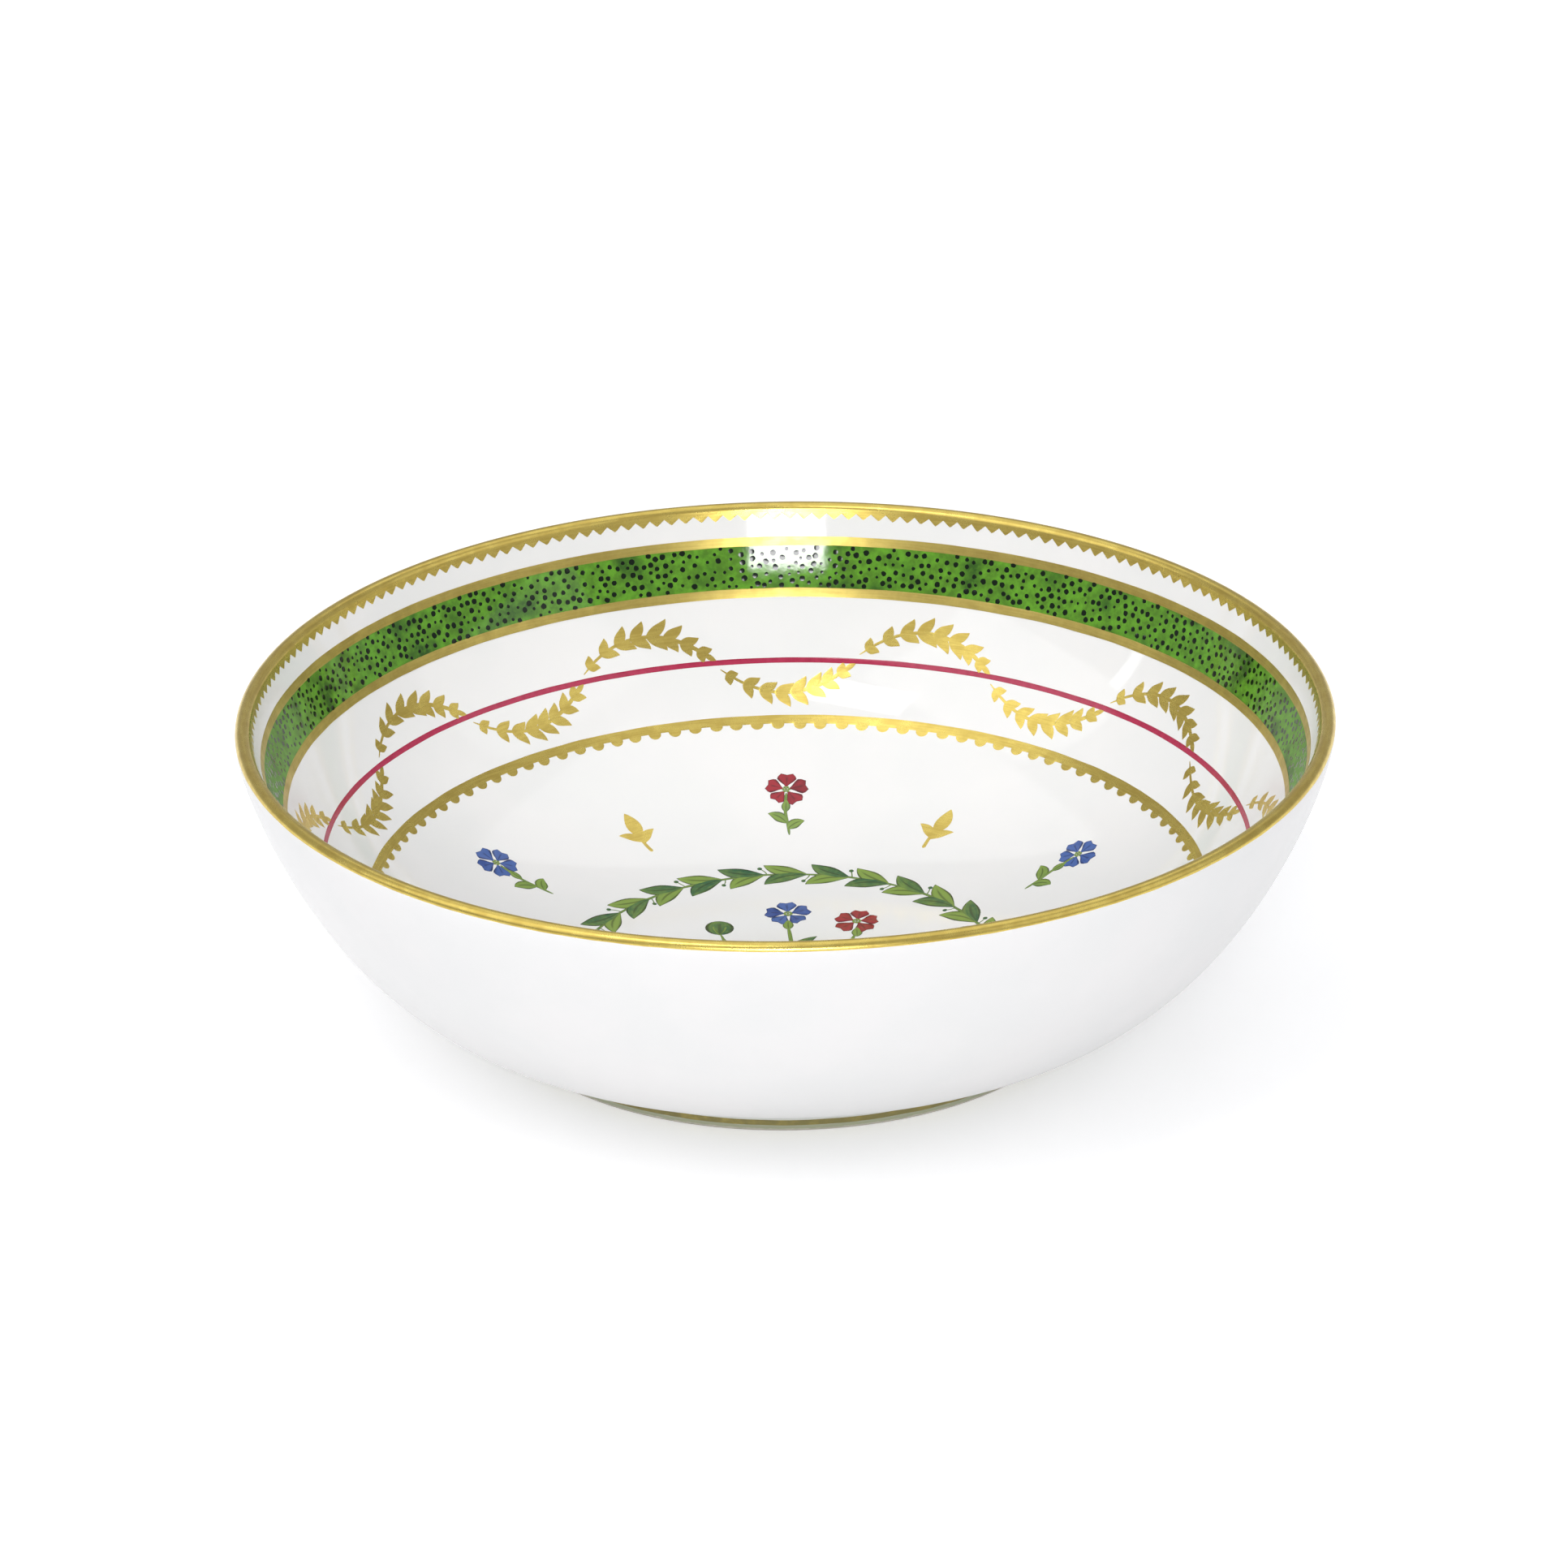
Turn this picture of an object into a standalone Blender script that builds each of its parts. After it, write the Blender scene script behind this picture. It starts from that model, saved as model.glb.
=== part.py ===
"""A porcelain bowl on a luted foot ring, with its gilding and enamels as thin layers laid on the glaze.

Metres, +Z up. The origin is the centre of the circle that the foot stands on. A "run" is a distance
along the inside wall, counted from the lip's inner edge down to the centre of the floor.
"""

import math
from bisect import bisect_left

import bmesh
import bpy
from mathutils import Vector

# The porcelain body
RIM_RADIUS = 0.0825
HEIGHT = 0.0485
LIP_THICKNESS = 0.0024
FLOOR_THICKNESS = 0.0032
OUTER_LEAN = math.radians(8)
INNER_LEAN = math.radians(19)
UNDERSIDE_REACH = 0.0242
OUTER_WALL_REACH = 0.0056
FLOOR_REACH = 0.0575
INNER_WALL_REACH = 0.0297

# The foot ring, and the height of the body's middle over the table inside it
FOOT_RADIUS = 0.0454
FOOT_HEIGHT = 0.0047
FOOT_WIDTH = 0.0048
FOOT_DRAFT = 0.0012
FOOT_INNER_DRAFT = 0.0006
FOOT_EDGE = 0.0008
HOLLOW = 0.0019

# The layers, and the clearance that each keeps from its seat and from its neighbours
LAYER = 0.0002
SEAT_GAP = 0.0003

# Gilded lines and the enamel band, from the lip downwards
LIP_LINE_OUTSIDE = 0.0002
DENTIL_ROOT = 0.0003
DENTIL_DEPTH = 0.0012
DENTIL_COUNT = 216
WHITE_BAND = 0.0027
BAND_LINE = 0.0014
GREEN_BAND = 0.0066
FRIEZE_FIELD = 0.0192
THREAD_DROP = 0.0100
CRIMSON_THREAD = 0.0008
SCALLOP_LINE = 0.0014
SCALLOP_DEPTH = 0.0009
SCALLOP_COUNT = 120
SCALLOP_SHARE = 0.62
SCALLOP_SHOULDER = 0.12
SPRIG_FIELD = 0.0290
FOOT_LINE = 0.0010
FOOT_LINE_DROP = 0.0025

# The frieze of gold twigs, above and below the crimson thread in turn
TWIG_PAIRS = 10
TWIG_SPACE = 0.0016
TWIG_MARGIN = 0.0018
TWIG_OFFSET = 0.0011
TWIG_STEM = 0.0005
TWIG_LEAF = 0.0021
TWIG_LEAVES = 5

# The sprigs round the well: blossoms near the scallops, and between them gold sprigs near the wreath
BLOSSOM_COUNT = 6
SPRIG_STAGGER = 0.0028
BLOSSOM_RADIUS = 0.0036
BLOSSOM_NOTCH = 0.0021
PETALS = 5
PETAL_BLUNT = 0.22
STEM_LENGTH = 0.0066
STEM_WIDTH = 0.0006
STEM_LEAF = 0.0032
GOLD_SPRIG_LENGTH = 0.0094
GOLD_SPRIG_LEAF = 0.0030

# The wreath and the posy on the floor
WREATH_WIDTH = 0.0068
WREATH_STEM = 0.0010
WREATH_PAIRS = 30
WREATH_LEAF_TIP = 0.72
WREATH_LEAF_END = 0.80
POSY_SPREAD = 0.0105
POSY_CLEARANCE = 0.0049316344
POSY_STEP = 0.0030
POSY_DROP = 0.0150
POSY_BLOSSOM_RADIUS = 0.0038
POSY_BLOSSOM_NOTCH = 0.0022
POSY_STEM = 0.0008
POSY_LEAF = 0.0040
BUD_RADIUS = 0.0022
BUD_SIDES = 8

# Facets
SEGMENTS = 56
OUTER_STEPS = 9
LIP_STEPS = 4
INNER_STEPS = 12
EDGE_STEPS = 2
WALL_SAMPLES = 400

FULL_TURN = 2 * math.pi
STACK = SEAT_GAP + LAYER


def bezier(p0, p1, p2, p3, t):
    a, b, c, d = (1 - t) ** 3, 3 * t * (1 - t) ** 2, 3 * t * t * (1 - t), t**3
    return tuple(a * i + b * j + c * k + d * m for i, j, k, m in zip(p0, p1, p2, p3))


# Turned profiles, as (radius, height)
LIP_RADIUS = LIP_THICKNESS / 2
LIP_CENTRE = (RIM_RADIUS - LIP_RADIUS, HEIGHT - LIP_RADIUS)
LIP_OUTER_END = -OUTER_LEAN
LIP_INNER_END = math.pi - INNER_LEAN
HEEL = FOOT_HEIGHT + SEAT_GAP
UNDERSIDE_RISE = math.atan2(HEEL - HOLLOW, FOOT_RADIUS)
FLOOR = HOLLOW + FLOOR_THICKNESS


def lip_point(angle, lift=0.0):
    """A point of the lip's round edge, at an angle from straight out, lifted off the porcelain."""
    reach = LIP_RADIUS - STACK + lift
    return LIP_CENTRE[0] + reach * math.cos(angle), LIP_CENTRE[1] + reach * math.sin(angle)


def below_lip(drop, lift=0.0):
    """A point of the straight stretch just under the lip, on the outside."""
    r, z = lip_point(LIP_OUTER_END, lift)
    return r - drop * math.sin(OUTER_LEAN), z - drop * math.cos(OUTER_LEAN)


def outer_point(t):
    """The outside wall, from the heel at 0 to the gilding's lower edge at 1, flush with the gilding."""
    heel, shoulder = (FOOT_RADIUS, HEEL), below_lip(LIP_LINE_OUTSIDE + SEAT_GAP, STACK)
    rise = (math.cos(UNDERSIDE_RISE), math.sin(UNDERSIDE_RISE))
    lean = (math.sin(OUTER_LEAN), math.cos(OUTER_LEAN))
    leave = tuple(p + UNDERSIDE_REACH * d for p, d in zip(heel, rise))
    arrive = tuple(p - OUTER_WALL_REACH * d for p, d in zip(shoulder, lean))
    return bezier(heel, leave, arrive, shoulder, t)


def inner_point(t):
    """The inside wall, from the lip at 0 to the centre of the floor at 1."""
    lip, floor = lip_point(LIP_INNER_END), (0.0, FLOOR)
    lean = (math.sin(INNER_LEAN), math.cos(INNER_LEAN))
    leave = tuple(p - INNER_WALL_REACH * d for p, d in zip(lip, lean))
    return bezier(lip, leave, (FLOOR_REACH, FLOOR), floor, t)


def steps(count, point, first=0, last=1):
    return [point(first + (last - first) * k / count) for k in range(count + 1)]


# The inside wall by its run
WALL = steps(WALL_SAMPLES, inner_point)
RUNS = [0.0]
for before, after in zip(WALL, WALL[1:]):
    RUNS.append(RUNS[-1] + math.dist(before, after))
WALL_LENGTH = RUNS[-1]


def on_wall(angle, run, lift=SEAT_GAP):
    """The point at this angle and run, lifted off the wall into the bowl."""
    run = min(run, WALL_LENGTH)
    k = max(bisect_left(RUNS, run), 1)
    (r0, z0), (r1, z1) = WALL[k - 1], WALL[k]
    length = RUNS[k] - RUNS[k - 1]
    share = (run - RUNS[k - 1]) / length
    down_r, down_z = (r1 - r0) / length, (z1 - z0) / length
    r = r0 + (r1 - r0) * share + lift * down_z
    z = z0 + (z1 - z0) * share - lift * down_r
    return Vector((r * math.cos(angle), r * math.sin(angle), z))


def wall_radius(run):
    return math.hypot(*on_wall(0.0, run, 0.0).xy)


# Runs of the bands, each laid below the one before
DENTIL_TIP = DENTIL_ROOT + DENTIL_DEPTH
UPPER_LINE = DENTIL_TIP + WHITE_BAND
GREEN_TOP = UPPER_LINE + BAND_LINE
LOWER_LINE = GREEN_TOP + GREEN_BAND
FRIEZE_TOP = LOWER_LINE + BAND_LINE
THREAD = FRIEZE_TOP + THREAD_DROP
SCALLOP_TOP = FRIEZE_TOP + FRIEZE_FIELD
SCALLOP_ROOT = SCALLOP_TOP + SCALLOP_LINE
SCALLOP_TIP = SCALLOP_ROOT + SCALLOP_DEPTH
SPRIGS = SCALLOP_TIP + SPRIG_FIELD / 2
WREATH_TOP = SCALLOP_TIP + SPRIG_FIELD

# The posy's heads, by the room inside the wreath
WREATH_INSIDE = WALL_LENGTH - WREATH_TOP - WREATH_WIDTH
POSY_MIDDLE_RISE = WREATH_INSIDE - POSY_CLEARANCE - POSY_BLOSSOM_RADIUS
POSY_RISE = POSY_MIDDLE_RISE - POSY_STEP


def finish(name, base_color, roughness, metallic=0.0):
    material = bpy.data.materials.new(name)
    material.use_nodes = True
    shader = material.node_tree.nodes["Principled BSDF"]
    shader.inputs["Base Color"].default_value = (*base_color, 1.0)
    shader.inputs["Roughness"].default_value = roughness
    shader.inputs["Metallic"].default_value = metallic
    return material


def add_object(name, mesh_data, material):
    mesh = bpy.data.meshes.new(name)
    mesh_data.to_mesh(mesh)
    mesh_data.free()
    mesh.shade_smooth()
    mesh.set_sharp_from_angle(angle=math.radians(35))
    mesh.materials.append(material)
    obj = bpy.data.objects.new(name, mesh)
    bpy.context.scene.collection.objects.link(obj)
    return obj


def turned(name, profile, closed, material):
    """A solid turned about Z from a profile of (radius, height) points."""
    bm = bmesh.new()
    ring = [bm.verts.new((r, 0.0, z)) for r, z in profile]
    pairs = zip(ring, ring[1:] + ring[:1] if closed else ring[1:])
    edges = [bm.edges.new(pair) for pair in pairs]
    bmesh.ops.spin(
        bm, geom=ring + edges, axis=(0, 0, 1), angle=FULL_TURN, steps=SEGMENTS, use_merge=True
    )
    bmesh.ops.remove_doubles(bm, verts=bm.verts, dist=1e-7)
    bmesh.ops.recalc_face_normals(bm, faces=bm.faces)
    return add_object(name, bm, material)


def laid(name, faces, material):
    """A layer on a sheet of faces, each a list of points as seen from the sheet's free side."""
    bm = bmesh.new()
    for face in faces:
        bm.faces.new([bm.verts.new(point) for point in face])
    bmesh.ops.remove_doubles(bm, verts=bm.verts, dist=1e-7)
    bmesh.ops.triangulate(bm, faces=bm.faces, ngon_method="EAR_CLIP")
    obj = add_object(name, bm, material)
    layer = obj.modifiers.new("layer", "SOLIDIFY")
    layer.thickness = LAYER
    layer.offset = 1.0
    return obj


def laid_ring(name, count, top, bottom, material, place=on_wall):
    """A ring laid on the wall. Its two edges repeat count times: lists of (share of the pitch, run)."""
    pitch = FULL_TURN / count
    faces = []
    for k in range(count):
        upper = [place((k + share) * pitch, run) for share, run in top]
        lower = [place((k + share) * pitch, run) for share, run in bottom]
        faces.append(upper + lower[::-1])
    return laid(name, faces, material)


def twice(edge):
    """The edge of two like teeth or scallops that share one pitch."""
    return [(share / 2, run) for share, run in edge] + [((1 + share) / 2, run) for share, run in edge[1:]]


def plain_ring(name, top, bottom, material, place=on_wall):
    return laid_ring(name, SEGMENTS, [(0, top), (1, top)], [(0, bottom), (1, bottom)], material, place)


def laid_outline(name, outline, angle, run, material):
    """A motif laid on the wall, its outline as (across, towards the lip) from the point at angle and run."""
    radius = wall_radius(run)
    face = [on_wall(angle - x / radius, run - y) for x, y in outline]
    return laid(name, [face], material)


def laid_on_floor(name, outline, material):
    """A motif laid at the middle of the floor, its outline as (x, y)."""
    face = [on_wall(math.atan2(y, x), WALL_LENGTH - math.hypot(x, y)) for x, y in outline]
    return laid(name, [face], material)


# Outlines
def blossom_outline(radius, notch, centre=(0.0, 0.0)):
    """Blunt petals, each a notch and two shoulders, the first petal straight up."""
    outline = []
    for k in range(PETALS):
        for reach, share in ((notch, -0.5), (radius, -PETAL_BLUNT), (radius, PETAL_BLUNT)):
            angle = (k + share) * FULL_TURN / PETALS
            outline.append((centre[0] - reach * math.sin(angle), centre[1] + reach * math.cos(angle)))
    return outline


def stem_outline(top, length, width, leaf):
    """A stem hanging from the height top, with a leaf on each side."""
    half, end = width / 2, top - length
    left = [(-half, top), (-half, top - 0.3 * length), (-leaf, top - 0.25 * length)]
    left += [(-half, top - 0.6 * length), (-half, end)]
    right = [(half, end), (half, top - 0.8 * length), (leaf, top - 0.55 * length)]
    right += [(half, top - 0.5 * length), (half, top)]
    return left + right


def gold_sprig_outline(length, leaf):
    """Three pointed leaves on a short stalk, from the stalk's foot and back."""
    low, mid, tip = -length / 2, -length / 6, length / 2
    neck = leaf / 5
    right = [(neck, low), (neck, mid - neck), (leaf, mid + neck), (neck, mid + 2 * neck)]
    right += [(1.6 * neck, mid + 3.5 * neck)]
    left = [(-x, y) for x, y in reversed(right)]
    return right + [(0.0, tip)] + left


def twig_outline(length, rise, side):
    """A bowed twig on one side of the thread, its leaves pointing one way and longest in the middle."""

    def spine(share):
        bow = 1 - (2 * share - 1) ** 2
        return (share - 0.5) * length, side * (TWIG_OFFSET + rise * bow), bow

    def edge(hand):
        points = []
        for k in range(TWIG_LEAVES):
            x, y, bow = spine((k + 0.2) / TWIG_LEAVES)
            points.append((x, y + hand * TWIG_STEM / 2))
            x, y, bow = spine((k + 0.95) / TWIG_LEAVES)
            points.append((x, y + hand * (TWIG_STEM / 2 + TWIG_LEAF * (0.25 + 0.75 * bow))))
        return points

    first, last = spine(0)[:2], spine(1.04)[:2]
    return [first] + edge(-1) + [last] + edge(1)[::-1]


def foot_side(share, lift=0.0):
    """The foot's outer side, from the floor at 0 to the body at 1."""
    slope = math.atan2(FOOT_DRAFT, FOOT_HEIGHT)
    r = FOOT_RADIUS - FOOT_DRAFT * (1 - share)
    return r + lift * math.cos(slope), FOOT_HEIGHT * share - lift * math.sin(slope)


def foot_profile():
    """The ring's section: rounded standing edges, sides that draw in, and a top that fits the body."""
    inner, outer = FOOT_RADIUS - FOOT_WIDTH, foot_side(0)[0]
    low_inner = inner + FOOT_INNER_DRAFT
    section = [(inner, FOOT_HEIGHT - FOOT_WIDTH * math.tan(UNDERSIDE_RISE))]
    for corner, start in ((low_inner + FOOT_EDGE, math.pi), (outer - FOOT_EDGE, 1.5 * math.pi)):
        for k in range(EDGE_STEPS + 1):
            angle = start + k / EDGE_STEPS * math.pi / 2
            section.append((corner + FOOT_EDGE * math.cos(angle), FOOT_EDGE * (1 + math.sin(angle))))
    return section + [foot_side(1)]


def make_porcelain(white, bisque):
    profile = [(0.0, HOLLOW)] + steps(OUTER_STEPS, outer_point)
    profile.append(below_lip(LIP_LINE_OUTSIDE + SEAT_GAP))
    profile += steps(LIP_STEPS, lip_point, LIP_OUTER_END, LIP_INNER_END)[:-1]
    profile += steps(INNER_STEPS, inner_point)
    turned("bowl_body", profile, False, white)
    turned("foot_ring", foot_profile(), True, bisque)


def make_gilded_lines(gold):
    def over_lip(angle):
        return lip_point(angle, SEAT_GAP)

    rows = [below_lip(LIP_LINE_OUTSIDE, SEAT_GAP)] + steps(LIP_STEPS, over_lip, LIP_OUTER_END, LIP_INNER_END)
    faces = []
    for k in range(SEGMENTS):
        near, far = k * FULL_TURN / SEGMENTS, (k + 1) * FULL_TURN / SEGMENTS
        for (r0, z0), (r1, z1) in zip(rows, rows[1:]):
            corners = ((r0, near, z0), (r0, far, z0), (r1, far, z1), (r1, near, z1))
            faces.append([Vector((r * math.cos(a), r * math.sin(a), z)) for r, a, z in corners])
    laid("lip_gilding", faces, gold)
    base = DENTIL_ROOT + LAYER
    dentil = [(0, base), (0.5, DENTIL_TIP), (1, base)]
    above = [(0, DENTIL_ROOT), (1, DENTIL_ROOT)]
    laid_ring("dentil_edge", DENTIL_COUNT // 2, above, twice(dentil), gold)
    plain_ring("upper_band_line", UPPER_LINE, GREEN_TOP - SEAT_GAP, gold)
    plain_ring("lower_band_line", LOWER_LINE + SEAT_GAP, FRIEZE_TOP, gold)
    scallop = [(0, SCALLOP_ROOT), (SCALLOP_SHOULDER, SCALLOP_TIP)]
    scallop += [(SCALLOP_SHARE - SCALLOP_SHOULDER, SCALLOP_TIP), (SCALLOP_SHARE, SCALLOP_ROOT)]
    scallop += [(1, SCALLOP_ROOT)]
    above = [(0, SCALLOP_TOP), (1, SCALLOP_TOP)]
    laid_ring("scalloped_line", SCALLOP_COUNT // 2, above, twice(scallop), gold)

    def on_foot(angle, height):
        r, z = foot_side(height / FOOT_HEIGHT, SEAT_GAP)
        return Vector((r * math.cos(angle), r * math.sin(angle), z))

    line_top = FOOT_HEIGHT - FOOT_LINE_DROP
    plain_ring("foot_gilding", line_top - FOOT_LINE, line_top, gold, on_foot)


def make_enamel_bands(green, crimson):
    plain_ring("green_band", GREEN_TOP, LOWER_LINE, green)
    plain_ring("crimson_thread", THREAD - CRIMSON_THREAD / 2, THREAD + CRIMSON_THREAD / 2, crimson)


def make_frieze(gold):
    count = 2 * TWIG_PAIRS
    length = FULL_TURN * wall_radius(THREAD) / count - TWIG_SPACE
    room = min(THREAD_DROP, FRIEZE_FIELD - THREAD_DROP)
    rise = room - TWIG_MARGIN - TWIG_OFFSET - TWIG_LEAF
    for k in range(count):
        outline = twig_outline(length, rise, 1 if k % 2 == 0 else -1)
        laid_outline(f"frieze_twig_{k + 1:02d}", outline, k * FULL_TURN / count, THREAD, gold)


def make_sprigs(gold, leaf_green, petals):
    """Red and blue blossoms in turn, the first at the back, with a gold sprig between each two."""
    pitch = FULL_TURN / BLOSSOM_COUNT
    for k in range(BLOSSOM_COUNT):
        angle, head = math.pi / 2 + k * pitch, SPRIGS - SPRIG_STAGGER
        colour = ("red", "blue")[k % 2]
        outline = blossom_outline(BLOSSOM_RADIUS, BLOSSOM_NOTCH)
        laid_outline(f"{colour}_blossom_{k // 2 + 1}", outline, angle, head, petals[colour])
        outline = stem_outline(-BLOSSOM_RADIUS - SEAT_GAP, STEM_LENGTH, STEM_WIDTH, STEM_LEAF)
        laid_outline(f"blossom_stem_{k + 1}", outline, angle, head, leaf_green)
        outline = gold_sprig_outline(GOLD_SPRIG_LENGTH, GOLD_SPRIG_LEAF)
        laid_outline(f"gold_sprig_{k + 1}", outline, angle + pitch / 2, SPRIGS + SPRIG_STAGGER, gold)


def make_wreath(leaf_green):
    half = (WREATH_WIDTH - WREATH_STEM) / 2
    top, bottom = WREATH_TOP + half, WREATH_TOP + half + WREATH_STEM
    outside = [(0, top), (WREATH_LEAF_TIP, WREATH_TOP), (WREATH_LEAF_END, top), (1, top)]
    inside = [(0, bottom), (WREATH_LEAF_TIP, bottom + half), (WREATH_LEAF_END, bottom), (1, bottom)]
    laid_ring("leaf_wreath", WREATH_PAIRS, outside, inside, leaf_green)


def make_posy(leaf_green, petals):
    """A bud, a blue blossom and a red one on stems that meet at the foot, the outer two with leaves."""
    head = POSY_BLOSSOM_RADIUS + SEAT_GAP
    neck, middle_neck = POSY_RISE - head, POSY_MIDDLE_RISE - head
    for colour, centre in (("blue", (0.0, POSY_MIDDLE_RISE)), ("red", (POSY_SPREAD, POSY_RISE))):
        outline = blossom_outline(POSY_BLOSSOM_RADIUS, POSY_BLOSSOM_NOTCH, centre)
        laid_on_floor(f"posy_{colour}_blossom", outline, petals[colour])
    bud_rise = neck + SEAT_GAP + BUD_RADIUS
    turns = [k * FULL_TURN / BUD_SIDES for k in range(BUD_SIDES)]
    outline = [(BUD_RADIUS * math.cos(a) - POSY_SPREAD, BUD_RADIUS * math.sin(a) + bud_rise) for a in turns]
    laid_on_floor("posy_bud", outline, leaf_green)

    half, foot = POSY_STEM / 2, -POSY_DROP
    tip = (POSY_SPREAD + POSY_LEAF, (neck + foot) / 2)
    right = [(half, foot), (POSY_SPREAD / 2, (neck + foot) / 2 - POSY_LEAF), tip]
    right += [(POSY_SPREAD / 2 + POSY_STEM, (neck + foot) / 2), (POSY_SPREAD + half, neck)]
    right += [(POSY_SPREAD - half, neck), (half, foot + POSY_LEAF), (half, middle_neck)]
    laid_on_floor("posy_stems", right + [(-x, y) for x, y in reversed(right)], leaf_green)


def main():
    for obj in list(bpy.data.objects):
        bpy.data.objects.remove(obj)
    white = finish("glazed_porcelain", (0.88, 0.88, 0.89), 0.08)
    bisque = finish("foot_porcelain", (0.84, 0.84, 0.83), 0.35)
    gold = finish("burnished_gold", (0.60, 0.44, 0.13), 0.28, 1.0)
    green = finish("green_enamel", (0.08, 0.23, 0.02), 0.12)
    crimson = finish("crimson_enamel", (0.47, 0.06, 0.11), 0.15)
    leaf_green = finish("leaf_green_enamel", (0.20, 0.31, 0.11), 0.15)
    petals = {
        "red": finish("red_enamel", (0.23, 0.03, 0.04), 0.15),
        "blue": finish("blue_enamel", (0.07, 0.12, 0.26), 0.15),
    }
    make_porcelain(white, bisque)
    make_gilded_lines(gold)
    make_enamel_bands(green, crimson)
    make_frieze(gold)
    make_sprigs(gold, leaf_green, petals)
    make_wreath(leaf_green)
    make_posy(leaf_green, petals)


main()
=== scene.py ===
import random
from bisect import bisect_right
from math import atan2, cos, dist, hypot, log, pi, radians, remainder, sin, sqrt, tan

import bmesh
import bpy
from mathutils import Matrix, Vector, noise


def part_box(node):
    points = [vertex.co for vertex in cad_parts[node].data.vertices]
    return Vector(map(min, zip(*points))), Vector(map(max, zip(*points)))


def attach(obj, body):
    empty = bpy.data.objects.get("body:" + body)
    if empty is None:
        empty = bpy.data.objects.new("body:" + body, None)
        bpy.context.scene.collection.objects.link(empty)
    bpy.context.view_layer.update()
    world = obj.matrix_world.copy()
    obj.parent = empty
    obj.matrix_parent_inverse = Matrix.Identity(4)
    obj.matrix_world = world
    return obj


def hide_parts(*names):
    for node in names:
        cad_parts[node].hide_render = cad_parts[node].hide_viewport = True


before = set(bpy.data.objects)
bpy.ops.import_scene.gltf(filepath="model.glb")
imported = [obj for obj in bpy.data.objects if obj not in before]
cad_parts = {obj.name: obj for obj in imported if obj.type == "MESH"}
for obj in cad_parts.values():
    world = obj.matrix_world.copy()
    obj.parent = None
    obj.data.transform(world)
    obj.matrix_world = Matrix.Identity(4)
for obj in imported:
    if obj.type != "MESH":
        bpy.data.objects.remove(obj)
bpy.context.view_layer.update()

# lengths below are millimetres, angles degrees; meshes are scaled to metres as they are made
mm = 0.001
fullTurn = 2 * pi

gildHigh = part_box("lip_gilding")[1]
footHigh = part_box("foot_ring")[1]
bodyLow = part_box("bowl_body")[0]
rimRadius, rimHeight = gildHigh.x / mm, gildHigh.z / mm
footRadius, footHeight, hollow = footHigh.x / mm, footHigh.z / mm, bodyLow.z / mm

print("frame: rim", round(2 * rimRadius, 2), "mm across,", round(rimHeight, 2), "mm high")


def srgb(red, green, blue):
    # a colour as it should look, 0 to 255, turned into the linear values that sockets take
    def linear(value):
        value /= 255
        return value / 12.92 if value <= 0.04045 else ((value + 0.055) / 1.055) ** 2.4

    return linear(red), linear(green), linear(blue), 1.0


# The porcelain's section
bowl = {
    "lipThickness": 2.4, "straightLip": 0.5, "outerLean": 8, "innerLean": 19, "goldFilm": 0.02,
    "seatAboveFoot": 0.3, "floorThickness": 3.2,
    # how far each wall's curve holds the direction it starts or ends in
    "undersideReach": 24.2, "outerReach": 5.6, "innerReach": 29.7, "floorReach": 57.5,
    "segments": 320, "outerSteps": 64, "lipSteps": 20, "innerSteps": 96,
    "undersideShares": (0.0, 0.5, 0.98),
}

outerLean, innerLean = radians(bowl["outerLean"]), radians(bowl["innerLean"])
lipRadius = bowl["lipThickness"] / 2 - bowl["goldFilm"]
lipCentre = (rimRadius - bowl["lipThickness"] / 2, rimHeight - bowl["lipThickness"] / 2)
heel = footHeight + bowl["seatAboveFoot"]
undersideRise = atan2(heel - hollow, footRadius)
floorHeight = hollow + bowl["floorThickness"]


def bezier(p0, p1, p2, p3, t):
    shares = ((1 - t) ** 3, 3 * t * (1 - t) ** 2, 3 * t * t * (1 - t), t**3)
    return tuple(sum(s * p[i] for s, p in zip(shares, (p0, p1, p2, p3))) for i in (0, 1))


def lipPoint(angle):
    return lipCentre[0] + lipRadius * cos(angle), lipCentre[1] + lipRadius * sin(angle)


def downFrom(point, lean, reach):
    # a point further down a wall that leans out
    return point[0] - reach * sin(lean), point[1] - reach * cos(lean)


def belowLip(drop):
    return downFrom(lipPoint(-outerLean), outerLean, drop)


def undersideAt(r):
    # the height of the shallow cone under the body
    return hollow + r * tan(undersideRise)


def outerWall(t):
    shoulder, reach = belowLip(bowl["straightLip"]), bowl["undersideReach"]
    leave = footRadius + reach * cos(undersideRise), heel + reach * sin(undersideRise)
    arrive = downFrom(shoulder, outerLean, bowl["outerReach"])
    return bezier((footRadius, heel), leave, arrive, shoulder, t)


def innerWall(t):
    lip = lipPoint(pi - innerLean)
    leave = downFrom(lip, innerLean, bowl["innerReach"])
    return bezier(lip, leave, (bowl["floorReach"], floorHeight), (0.0, floorHeight), t)


def steps(count, point, first=0.0, last=1.0):
    return [point(first + (last - first) * k / count) for k in range(count + 1)]


def lipArc(count):
    return steps(count, lipPoint, -outerLean, pi - innerLean)


# The painted surface as one path: up the outside of the lip, over it, down the wall to the floor's centre.
# A run is a distance along it, counted from where the lip's round edge ends inside.
pathSteps, lipPathSteps = 900, 40
overLip = [belowLip(bowl["straightLip"])] + lipArc(lipPathSteps)
path = overLip + steps(pathSteps, innerWall)[1:]
runs = [0.0]
for before, after in zip(path, path[1:]):
    runs.append(runs[-1] + dist(before, after))
startRun = runs[len(overLip) - 1]
runs = [run - startRun for run in runs]
wallLength = runs[-1]


def turned(angle, r, z):
    return Vector((r * cos(angle), r * sin(angle), z)) * mm


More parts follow.
